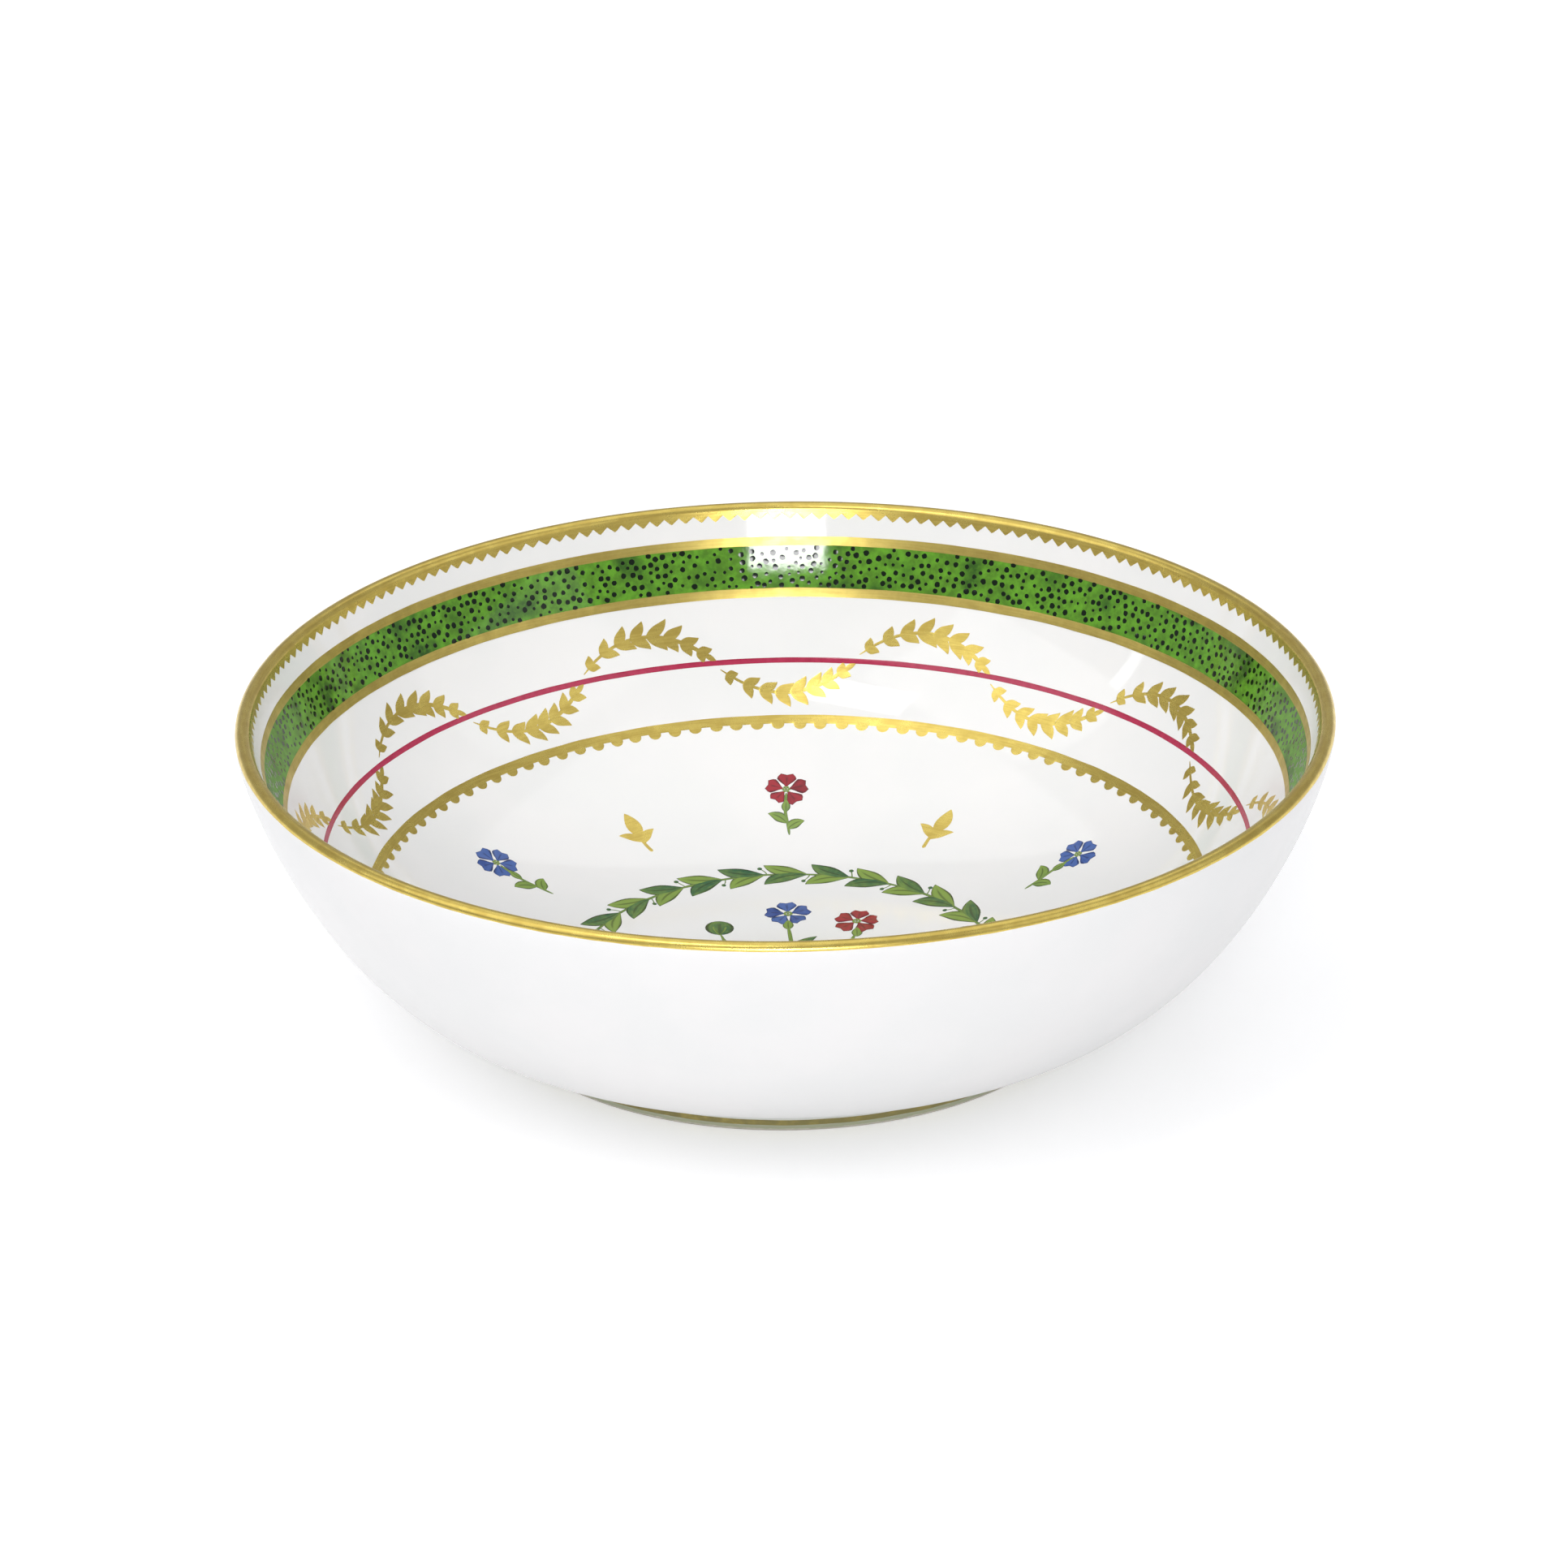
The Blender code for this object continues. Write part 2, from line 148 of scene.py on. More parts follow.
def place(angle, run, lift=0.0):
    # the point at this angle and run, lifted off the porcelain
    run = min(run, wallLength)
    k = min(bisect_right(runs, max(run, runs[0])) - 1, len(runs) - 2)
    (r0, z0), (r1, z1) = path[k], path[k + 1]
    length = runs[k + 1] - runs[k]
    share = (run - runs[k]) / length
    downR, downZ = (r1 - r0) / length, (z1 - z0) / length
    r = r0 + (r1 - r0) * share + lift * downZ
    z = z0 + (z1 - z0) * share - lift * downR
    return turned(angle, r, z)


def wallRadius(run):
    return place(0.0, run).x / mm


def waver(angle, seed, detail=14.0):
    # a hand's unsteadiness round a ring, -1 to 1, without a seam; each seed has its own level of the noise
    level = 7.3 * seed
    return noise.noise(Vector((detail * cos(angle), detail * sin(angle), level)))


# Node groups and materials
def setInput(node, key, value):
    # i2 is the third input; any other key is an input's name
    placed = key[0] == "i" and key[1:].isdigit()
    socket = node.inputs[int(key[1:]) if placed else key]
    if isinstance(value, bpy.types.NodeSocket):
        node.id_data.links.new(value, socket)
    else:
        socket.default_value = value


def addNode(tree, kind, settings=None, **inputs):
    node = tree.nodes.new(kind)
    for key, value in (settings or {}).items():
        setattr(node, key, value)
    for key, value in inputs.items():
        setInput(node, key, value)
    return node


# these go into the tree that their first socket is in
def maths(operation, first, second=0.0):
    node = addNode(first.id_data, "ShaderNodeMath", {"operation": operation}, i0=first, i1=second)
    return node.outputs[0]


def plus(first, second):
    return maths("ADD", first, second)


def minus(first, second):
    return maths("SUBTRACT", first, second)


def times(first, second):
    return maths("MULTIPLY", first, second)


def larger(first, second):
    return maths("MAXIMUM", first, second)


def mixColour(share, first, second):
    settings = {"data_type": "RGBA"}
    return addNode(share.id_data, "ShaderNodeMix", settings, i0=share, i6=first, i7=second).outputs[2]


def ramp(value, low, high, toLow=0.0, toHigh=1.0):
    # a smooth step from toLow to toHigh, as the value goes from low to high
    settings = {"interpolation_type": "SMOOTHSTEP"}
    inputs = {"i0": value, "i1": low, "i2": high, "i3": toLow, "i4": toHigh}
    return addNode(value.id_data, "ShaderNodeMapRange", settings, **inputs).outputs[0]


def noiseAt(vector, scale, detail=2.0, roughness=0.5):
    inputs = {"Vector": vector, "Scale": scale, "Detail": detail, "Roughness": roughness}
    return addNode(vector.id_data, "ShaderNodeTexNoise", **inputs).outputs[0]


def splitVector(vector):
    return addNode(vector.id_data, "ShaderNodeSeparateXYZ", Vector=vector).outputs


def joinVector(x, y, z=0.0):
    return addNode(x.id_data, "ShaderNodeCombineXYZ", X=x, Y=y, Z=z).outputs[0]


def vectorMaths(operation, vector):
    return addNode(vector.id_data, "ShaderNodeVectorMath", {"operation": operation}, i0=vector).outputs


def objectPoint(tree):
    return tree.nodes.new("ShaderNodeTexCoord").outputs["Object"]


colourSockets = ("Pale", "Deep", "Edge", "Rich", "Thin", "Worn", "Color")  # the others are values


def newGroup(name, inputs, outputs):
    group = bpy.data.node_groups.new(name, "ShaderNodeTree")
    for way, keys in (("INPUT", inputs), ("OUTPUT", outputs)):
        for key in keys:
            kind = "NodeSocketColor" if key in colourSockets else "NodeSocketFloat"
            group.interface.new_socket(key, in_out=way, socket_type=kind)
    return group, group.nodes.new("NodeGroupInput").outputs, group.nodes.new("NodeGroupOutput")


def useGroup(tree, group, **inputs):
    return addNode(tree, "ShaderNodeGroup", {"node_tree": group}, **inputs)


def strokeParts(tree):
    # where a point lies along and across its brush stroke, and the stroke's own tone
    stroke = addNode(tree, "ShaderNodeAttribute", {"attribute_name": "stroke"})
    return splitVector(stroke.outputs["Vector"])


def makeGlazeSkin():
    # the slight swell of fired glass, and how its gloss shifts from place to place
    tree, given, result = newGroup("glazeSkin", ("Swell", "Gloss", "Spread"), ("Height", "Roughness"))
    point = objectPoint(tree)
    swell = noiseAt(point, given["Swell"], 2.0)
    fine = noiseAt(point, 2600.0, 1.0)
    patch = noiseAt(point, 90.0, 4.0, 0.65)
    spread = times(patch, given["Spread"])
    setInput(result, "Height", plus(swell, times(fine, 0.08)))
    setInput(result, "Roughness", plus(spread, given["Gloss"]))
    return tree


def makeBrushShade():
    # one painted stroke: pale to deep along it, streaks left by the hair, a darker drawn edge and a rib
    inputs = ("Pale", "Deep", "Edge", "Edge Share", "Rib Share", "Streaks")
    tree, given, result = newGroup("brushShade", inputs, ("Color", "Height"))
    along, across, tone = strokeParts(tree)
    side = maths("ABSOLUTE", across)
    hairs = joinVector(times(along, 1.6), times(across, 5.0), times(tone, 37.0))
    streak = noiseAt(hairs, 1.5, 3.0, 0.6)
    cloud = noiseAt(objectPoint(tree), 900.0, 3.0)
    depth = plus(times(tone, 0.75), times(across, 0.12))
    depth = minus(depth, times(along, 0.15))
    unevenness = minus(plus(streak, cloud), 1.0)
    depth = plus(depth, times(unevenness, given["Streaks"]))
    colour = mixColour(ramp(depth, 0.0, 0.9), given["Pale"], given["Deep"])
    rib = times(ramp(side, 0.04, 0.2, 1.0, 0.0), ramp(along, 0.65, 0.9, 1.0, 0.0))
    rib = times(rib, given["Rib Share"])
    colour = mixColour(rib, colour, given["Edge"])
    drawn = larger(ramp(side, 0.66, 0.9), ramp(along, 0.93, 0.99))
    drawn = times(drawn, ramp(streak, 0.3, 0.6, 0.45, 1.0))
    drawn = times(drawn, given["Edge Share"])
    setInput(result, "Color", mixColour(drawn, colour, given["Edge"]))
    setInput(result, "Height", plus(streak, times(cloud, 0.5)))
    return tree


def makeGoldBrushing():
    # gold laid on a turning wheel: fine streaks round the axis, thin patches and burnishing marks, and
    # where a stroke's tone is high, patches darkened as painted shade and roughened
    outputs = ("Color", "Roughness", "Height")
    tree, given, result = newGroup("goldBrushing", ("Rich", "Thin", "Worn"), outputs)
    point = objectPoint(tree)
    x, y, z = splitVector(point)
    level = joinVector(x, y)
    x, y = splitVector(vectorMaths("NORMALIZE", level)[0])[:2]
    ring = times(plus(vectorMaths("LENGTH", level)["Value"], z), 900.0)
    wheel = joinVector(times(x, 5.0), times(y, 5.0), ring)
    streak = noiseAt(wheel, 3.0, 3.0, 0.6)
    patch = noiseAt(point, 420.0, 4.0, 0.6)
    grain = noiseAt(point, 5200.0, 2.0)
    thin = ramp(times(plus(streak, patch), 0.5), 0.38, 0.64)
    tone = strokeParts(tree)[2]
    # painted shade: tones above one half darken the gold in patches towards the third colour, and roughen
    # it
    shadeShare = times(ramp(tone, 0.5, 1.0), ramp(patch, 0.25, 0.6, 0.7, 1.0))
    colour = mixColour(thin, given["Rich"], given["Thin"])
    setInput(result, "Color", mixColour(shadeShare, colour, given["Worn"]))
    rough = plus(times(patch, 0.16), times(grain, 0.10))
    rough = plus(rough, times(shadeShare, 0.2))
    setInput(result, "Roughness", plus(rough, 0.16))
    setInput(result, "Height", plus(streak, times(grain, 0.4)))
    return tree


glazeSkin, brushShade, goldBrushing = makeGlazeSkin(), makeBrushShade(), makeGoldBrushing()


def newMaterial(name):
    material = bpy.data.materials.new(name)
    material.use_nodes = True
    return material, material.node_tree, material.node_tree.nodes["Principled BSDF"]


def finishShader(shader, look, colour, rough, height):
    bump = addNode(shader.id_data, "ShaderNodeBump", Strength=look["bump"], Height=height)
    setInput(bump, "Distance", look["relief"] * mm)
    setInput(shader, "Base Color", colour)
    setInput(shader, "Roughness", rough)
    setInput(shader, "Normal", bump.outputs[0])


def grazingBlur(rough, start, most):
    # a glaze is never quite flat, so what it mirrors blurs where it is seen edge on
    weight = addNode(rough.id_data, "ShaderNodeLayerWeight", Blend=0.5)
    return plus(rough, ramp(weight.outputs["Facing"], start, 0.85, 0.0, most))


porcelainLook = {
    "white": srgb(244, 243, 242), "shade": srgb(241, 241, 240), "mottleScale": 55.0,
    "pooled": srgb(229, 233, 234), "poolLevels": (6.5, 3.0), "poolShare": 0.7,
    "skin": {"Swell": 70.0, "Gloss": 0.035, "Spread": 0.04}, "edgeBlur": (0.5, 0.2), "ior": 1.52,
    "bump": 0.25, "relief": 0.012,
}


def makePorcelain():
    look = porcelainLook
    material, tree, shader = newMaterial("glazedPorcelain")
    skin = useGroup(tree, glazeSkin, **look["skin"])
    point = objectPoint(tree)
    mottle = ramp(noiseAt(point, look["mottleScale"], 3.0), 0.35, 0.65)
    colour = mixColour(mottle, look["white"], look["shade"])
    poolTop, poolBottom = look["poolLevels"]
    pool = ramp(splitVector(point)[2], poolTop * mm, poolBottom * mm, 0.0, look["poolShare"])
    colour = mixColour(pool, colour, look["pooled"])
    rough = grazingBlur(skin.outputs["Roughness"], *look["edgeBlur"])
    setInput(shader, "IOR", look["ior"])
    finishShader(shader, look, colour, rough, skin.outputs["Height"])
    return material


footLook = {
    # the glaze is a grey-green copy of the body's white, partly painted shade; the darker colour below a
    # low height is painted shadow under the foot
    "glaze": srgb(226, 228, 222), "paintedShadow": srgb(174, 178, 150), "shadowTop": 1.4,
    "bisque": srgb(210, 206, 192), "grit": srgb(204, 199, 186), "gritScale": 4200.0, "bareTop": 0.55,
    "ragged": 0.5, "raggedScale": 600.0,
    "skin": {"Swell": 180.0, "Gloss": 0.06, "Spread": 0.08}, "bump": 0.3, "relief": 0.02,
}


def makeFootPorcelain():
    # glazed in a grey-green that is partly painted shade, darkened low down as painted shadow, and bare on
    # the standing edge
    look = footLook
    material, tree, shader = newMaterial("footPorcelain")
    skin = useGroup(tree, glazeSkin, **look["skin"])
    point = objectPoint(tree)
    ragged = times(minus(noiseAt(point, look["raggedScale"], 3.0), 0.5), look["ragged"] * mm)
    level = plus(splitVector(point)[2], ragged)
    bareTop, shadowTop = look["bareTop"] * mm, look["shadowTop"] * mm
    bare = ramp(level, bareTop * 1.15, bareTop * 0.85)
    # painted shadow: the glaze darkens below a low height on the foot
    shadowed = ramp(level, shadowTop, shadowTop * 0.8)
    grit = noiseAt(point, look["gritScale"], 3.0)
    bisque = mixColour(grit, look["bisque"], look["grit"])
    glaze = mixColour(shadowed, look["glaze"], look["paintedShadow"])
    rough = plus(skin.outputs["Roughness"], times(bare, 0.5))
    height = plus(skin.outputs["Height"], times(times(grit, bare), 1.5))
    finishShader(shader, look, mixColour(bare, glaze, bisque), rough, height)
    return material


goldLook = {
    # the third colour is painted shade, a dull brown laid over gold whose stroke tone is high
    "brushing": {"Rich": srgb(222, 199, 107), "Thin": srgb(203, 177, 90), "Worn": srgb(142, 134, 90)},
    "bump": 0.35, "relief": 0.004,
}


def makeGold():
    material, tree, shader = newMaterial("burnishedGold")
    brushing = useGroup(tree, goldBrushing, **goldLook["brushing"])
    setInput(shader, "Metallic", 1.0)
    finishShader(shader, goldLook, *brushing.outputs)
    return material


greenLook = {
    "bright": srgb(98, 163, 32), "mid": srgb(76, 124, 20), "spongeScale": 620.0,
    "cloud": srgb(38, 82, 6), "cloudScale": 150.0, "cloudGrain": 1400.0,
    "skin": {"Swell": 520.0, "Gloss": 0.04, "Spread": 0.06}, "edgeBlur": (0.3, 0.42), "ior": 1.56,
    "bump": 0.5, "relief": 0.02,
}


def makeGreen():
    look = greenLook
    material, tree, shader = newMaterial("greenEnamel")
    skin = useGroup(tree, glazeSkin, **look["skin"])
    point = objectPoint(tree)
    sponge = ramp(noiseAt(point, look["spongeScale"], 4.0, 0.6), 0.3, 0.7)
    colour = mixColour(sponge, look["bright"], look["mid"])
    cloud = ramp(noiseAt(point, look["cloudScale"], 2.0, 0.55), 0.5, 0.72)
    grain = ramp(noiseAt(point, look["cloudGrain"], 2.0), 0.25, 0.6, 0.6, 1.0)
    colour = mixColour(times(cloud, grain), colour, look["cloud"])
    rough = grazingBlur(skin.outputs["Roughness"], *look["edgeBlur"])
    setInput(shader, "IOR", look["ior"])
    finishShader(shader, look, colour, rough, skin.outputs["Height"])
    return material


speckLook = {
    "dark": srgb(1, 14, 0), "light": srgb(6, 30, 2), "cloudScale": 1500.0, "specular": 0.34,
    "skin": {"Swell": 900.0, "Gloss": 0.06, "Spread": 0.06}, "bump": 0.3, "relief": 0.01,
}


def makeSpeckPaint():
    look = speckLook
    material, tree, shader = newMaterial("speckEnamel")
    skin = useGroup(tree, glazeSkin, **look["skin"])
    depth = noiseAt(objectPoint(tree), look["cloudScale"], 2.0)
    colour = mixColour(depth, look["dark"], look["light"])
    setInput(shader, "Specular IOR Level", look["specular"])
    height, rough = skin.outputs
    finishShader(shader, look, colour, rough, height)
    return material


strokePaints = {
    "crimsonEnamel": {
        "Pale": srgb(184, 50, 84), "Deep": srgb(154, 24, 60), "Edge": srgb(138, 20, 52),
        "Edge Share": 0.5, "Rib Share": 0.0, "Streaks": 0.9,
    },
    "redEnamel": {
        "Pale": srgb(164, 30, 44), "Deep": srgb(116, 12, 26), "Edge": srgb(68, 10, 18),
        "Edge Share": 0.85, "Rib Share": 0.55, "Streaks": 0.8,
    },
    "blueEnamel": {
        "Pale": srgb(70, 102, 172), "Deep": srgb(30, 60, 136), "Edge": srgb(22, 32, 78),
        "Edge Share": 0.85, "Rib Share": 0.55, "Streaks": 0.8,
    },
    "leafGreenEnamel": {
        "Pale": srgb(132, 160, 66), "Deep": srgb(20, 86, 56), "Edge": srgb(42, 52, 18),
        "Edge Share": 0.92, "Rib Share": 0.6, "Streaks": 0.5,
    },
}
strokeLook = {"skin": {"Swell": 800.0, "Gloss": 0.08, "Spread": 0.10}, "bump": 0.3, "relief": 0.01}


def makeStrokePaint(name):
    material, tree, shader = newMaterial(name)
    shade = useGroup(tree, brushShade, **strokePaints[name])
    skin = useGroup(tree, glazeSkin, **strokeLook["skin"])
    colour, height = shade.outputs
    finishShader(shader, strokeLook, colour, skin.outputs["Roughness"], height)
    return material


# a paint is a material and its slot
porcelain = makePorcelain(), "glazed_porcelain"
footPorcelain = makeFootPorcelain(), "foot_porcelain"
gold = makeGold(), "burnished_gold"
green, speckPaint = (makeGreen(), "green_enamel"), (makeSpeckPaint(), "green_enamel")
crimson = makeStrokePaint("crimsonEnamel"), "crimson_enamel"
red = makeStrokePaint("redEnamel"), "red_enamel"
blue = makeStrokePaint("blueEnamel"), "blue_enamel"
leafGreen = makeStrokePaint("leafGreenEnamel"), "leaf_green_enamel"
print("finishes:", len(bpy.data.materials), "materials,", len(bpy.data.node_groups), "shared groups")

# Meshes
sharpAngle = radians(40)


def link(thing):
    bpy.context.scene.collection.objects.link(thing)


def addPiece(name, mesh, paint, nodes):
    material, slot = paint
    mesh.shade_smooth()
    mesh.set_sharp_from_angle(angle=sharpAngle)
    mesh.materials.clear()
    mesh.materials.append(material)
    piece = bpy.data.objects.new(name, mesh)
    link(piece)
    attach(piece, "root")
    if nodes:
        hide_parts(*nodes)


def turnedMesh(name, profile, closed):
    # a solid turned round Z from a profile of (radius, height)
    bm = bmesh.new()
    ring = [bm.verts.new((r * mm, 0.0, z * mm)) for r, z in profile]
    pairs = zip(ring, ring[1:] + ring[:1] if closed else ring[1:])
    edges = [bm.edges.new(pair) for pair in pairs]
    bmesh.ops.spin(
        bm, geom=ring + edges, axis=(0, 0, 1), angle=fullTurn, steps=bowl["segments"], use_merge=True
    )
    bmesh.ops.remove_doubles(bm, verts=bm.verts, dist=1e-8)
    bmesh.ops.recalc_face_normals(bm, faces=bm.faces)
    mesh = bpy.data.meshes.new(name)
    bm.to_mesh(mesh)
    bm.free()
    return mesh


def newSheet():
    return {"points": [], "strokes": [], "faces": []}


def addRows(sheet, rows, ring=False):
    # rows of (point, along, across, tone), each row running to the right; a row of one point is a tip
    first = len(sheet["points"])
    index = []
    for row in rows:
        index.append(range(first, first + len(row)))
        first += len(row)
        for point, along, across, tone in row:
            sheet["points"].append(point)
            sheet["strokes"].append((along, across, tone))
    pairs = list(zip(index, index[1:]))
    if ring:
        pairs.append((index[-1], index[0]))
    for low, high in pairs:
        if len(low) == 1:
            sheet["faces"] += [(low[0], high[j + 1], high[j]) for j in range(len(high) - 1)]
        elif len(high) == 1:
            sheet["faces"] += [(low[j], low[j + 1], high[0]) for j in range(len(low) - 1)]
        else:
            sheet["faces"] += [(low[j], low[j + 1], high[j + 1], high[j]) for j in range(len(low) - 1)]


def numbered(stem, count, digits=1):
    return [f"{stem}_{k + 1:0{digits}d}" for k in range(count)]


layerDepth = 0.06  # how far a layer reaches back into the glaze under it
filmStep = 0.002  # how far strokes that overlap lie above one another


def paintPiece(name, sheet, paint, nodes, depth=layerDepth):
    # closes a sheet into a thin shell that sits in the glaze
    flat = bpy.data.meshes.new(name + "Sheet")
    flat.from_pydata(sheet["points"], [], sheet["faces"])
    strokes = flat.attributes.new("stroke", "FLOAT_VECTOR", "POINT")
    strokes.data.foreach_set("vector", [value for stroke in sheet["strokes"] for value in stroke])
    holder = bpy.data.objects.new(name + "Sheet", flat)
    link(holder)
    shell = holder.modifiers.new("layer", "SOLIDIFY")
    shell.thickness = depth * mm
    shell.offset = -1.0
    graph = bpy.context.evaluated_depsgraph_get()
    mesh = bpy.data.meshes.new_from_object(holder.evaluated_get(graph))
    mesh.name = name
    bpy.data.objects.remove(holder)
    addPiece(name, mesh, paint, nodes)


crossing = (-1.0, -0.86, -0.55, 0.0, 0.55, 0.86, 1.0)  # where a line's width is divided


def swelled(across, film, rise):
    # a layer thins to its edge
    return film + rise * (1 - across**4)


def ringAngles(count):
    return [k * fullTurn / count for k in range(count)]


def lineRow(angle, top, bottom, layer):
    # one crossing of a painted line, from its lower edge to its upper
    row = []
    for across in crossing:
        run = (top + bottom) / 2 - across * (bottom - top) / 2
        lift = swelled(across, layer["film"], layer["rise"])
        row.append((place(angle, run, lift), 0.5, across, layer["tone"]))
    return row


def addRing(sheet, top, bottom, layer, seed, columns=640):
    # a line painted right round between two runs; layer is the piece's own dictionary
    rows, wander = [], layer["unsteady"]
    for angle in ringAngles(columns):
        high, low = top + wander * waver(angle, seed), bottom + wander * waver(angle, seed + 0.5)
        rows.append(lineRow(angle, high, low, layer))
    addRows(sheet, rows, ring=True)


def makeRing(name, node, paint, top, bottom, layer, seed):
    sheet = newSheet()
    addRing(sheet, top, bottom, layer, seed)
    paintPiece(name, sheet, paint, [node], layer["depth"])


def wallPlace(angle, run):
    # drawing coordinates round a point of the wall: x to the right, y towards the lip
    radius = wallRadius(run)
    return lambda x, y, lift: place(angle - x / radius, run - y, lift)


def floorPlace(x, y, lift):
    return place(atan2(y, x), wallLength - hypot(x, y), lift)


leafCrossing = (-1.0, -0.8, -0.45, 0.0, 0.45, 0.8, 1.0)
stemCrossing = (-1.0, -0.6, 0.0, 0.6, 1.0)


def leafBreadth(t, fullest):
    return sin(pi * t ** (log(0.5) / log(fullest))) ** 0.85


def roundBreadth(t, fullest):
    return sqrt(max(0.0, 1 - (2 * t - 1) ** 2))


def addLeaf(
    sheet, at, base, tip, width, bend, tone, film, rise=0.02, fullest=0.45, count=12, breadth=leafBreadth
):
    # a leaf from base to tip; bend bows it to the right, as a share of its length
    spine = Vector((tip[0] - base[0], tip[1] - base[1]))
    right = Vector((spine.y, -spine.x))
    rows = []
    for k in range(count + 1):
        t = 0.5 - 0.5 * cos(pi * k / count)
        centre = Vector(base) + spine * t + right * (bend * 4 * t * (1 - t))
        if k in (0, count):
            rows.append([(at(centre.x, centre.y, film), t, 0.0, tone)])
            continue
        heading = (spine + right * (bend * 4 * (1 - 2 * t))).normalized()
        out = Vector((heading.y, -heading.x)) * (width / 2 * breadth(t, fullest))
        row = []
        for across in leafCrossing:
            spot = centre + out * across
            row.append((at(spot.x, spot.y, swelled(across, film, rise)), t, across, tone))
        rows.append(row)
    addRows(sheet, rows)


def addDot(sheet, at, centre, radius, tone, film=0.02, rise=0.03):
    base, tip = (centre[0], centre[1] - radius), (centre[0], centre[1] + radius)
    addLeaf(sheet, at, base, tip, 2 * radius, 0.0, tone, film, rise, 0.5, 10, roundBreadth)


def smoothLine(points, t):
    # a smooth curve through the points, t from 0 to 1
    spans = len(points) - 1
    k = min(int(t * spans), spans - 1)
    u = t * spans - k
    p0, p1, p2, p3 = (Vector(points[min(max(k + i, 0), spans)]) for i in (-1, 0, 1, 2))
    a, b = 2 * p1, p2 - p0
    c, d = 2 * p0 - 5 * p1 + 4 * p2 - p3, 3 * p1 - p0 - 3 * p2 + p3
    return (a + b * u + c * u * u + d * u**3) / 2


def addStem(sheet, at, points, firstWidth, lastWidth, tone=0.5, film=0.012, rise=0.02, count=24):
    rows = []
    for k in range(count + 1):
        t = k / count
        centre = smoothLine(points, t)
        ahead, behind = smoothLine(points, min(t + 0.01, 1)), smoothLine(points, max(t - 0.01, 0))
        heading = (ahead - behind).normalized()
        taper = min(1.0, 0.35 + 6 * min(t, 1 - t))
        half = (firstWidth + (lastWidth - firstWidth) * t) / 2 * taper
        row = []
        for across in stemCrossing:
            spot = centre + Vector((heading.y, -heading.x)) * (half * across)
            row.append((at(spot.x, spot.y, swelled(across, film, rise)), 0.5, across, tone))
        rows.append(row)
    addRows(sheet, rows)


# The porcelain body and its foot
foot = {
    "width": 4.8, "draft": 1.2, "innerDraft": 0.6, "edge": 0.8, "edgeSteps": 8, "fillet": 0.7, "bury": 0.25,
}


def makeBody():
    profile = [(share * footRadius, undersideAt(share * footRadius)) for share in bowl["undersideShares"]]
    profile += steps(bowl["outerSteps"], outerWall)
    profile += lipArc(bowl["lipSteps"])[:-1]
    profile += steps(bowl["innerSteps"], innerWall)
    mesh = turnedMesh("bowlBody", profile, False)
    addPiece("bowlBody", mesh, porcelain, ["bowl_body"])


def makeFoot():
    # a ring with a rounded standing edge, and a sweep of glaze where it meets the body
    inner, sweep, edge = footRadius - foot["width"], foot["fillet"], foot["edge"]
    count = foot["edgeSteps"]
    quarter = [k * pi / 2 / count for k in range(count + 1)]
    top = undersideAt(inner - sweep)
    section = [(inner - sweep, top + foot["bury"])]
    section += [(inner - sweep * (1 - sin(a)), top - sweep * (1 - cos(a))) for a in quarter]
    innerCorner, outerCorner = inner + foot["innerDraft"] + edge, footRadius - foot["draft"] - edge
    for corner, start in ((innerCorner, pi), (outerCorner, 1.5 * pi)):
        section += [(corner + edge * cos(start + a), edge * (1 + sin(start + a))) for a in quarter]
    top = undersideAt(footRadius + sweep)
    section += [(footRadius + sweep * (1 - cos(a)), top - sweep * (1 - sin(a))) for a in quarter]
    section.append((footRadius + sweep, top + foot["bury"]))
    mesh = turnedMesh("footRing", section, True)
    addPiece("footRing", mesh, footPorcelain, ["foot_ring"])


makeBody()
makeFoot()
print("porcelain: body and foot ring")

# Gilded lines
gilding = {"film": 0.012, "rise": 0.008, "unsteady": 0.06}

# the lip's gold runs from inside to just short of the outer end of the lip's round edge
lipGold = {
    "inside": 0.45, "shortOutside": 0.3, "columns": 720, "stations": 26, "wavers": 18.0, "depth": 0.03,
}
lipArcLength = lipRadius * (pi - innerLean + outerLean)


def makeLipGilding():
    sheet, rows, inside = newSheet(), [], lipGold["inside"]
    for angle in ringAngles(lipGold["columns"]):
        outside = lipGold["shortOutside"] - lipArcLength
        outside -= gilding["unsteady"] * waver(angle, 3, lipGold["wavers"])
        row = []
        for j in range(lipGold["stations"] + 1):
            share = j / lipGold["stations"]
            across = 1 - 2 * share
            run = inside + (outside - inside) * share
            lift = swelled(across, gilding["film"], gilding["rise"])
            row.append((place(angle, run, lift), 0.5, across, 0.5))
        rows.append(row)
    addRows(sheet, rows, ring=True)
    paintPiece("lipGilding", sheet, gold, ["lip_gilding"], lipGold["depth"])


dentils = {
    "seed": 11, "count": 216, "root": 0.42, "depth": 1.05, "blunt": 0.93, "uneven": 0.07, "lean": 0.06,
    "tuck": 0.1,  # how far the teeth start above their root
    "bar": 0.12,  # the solid strip that the teeth hang from
    "columns": 8, "rows": 4,
}


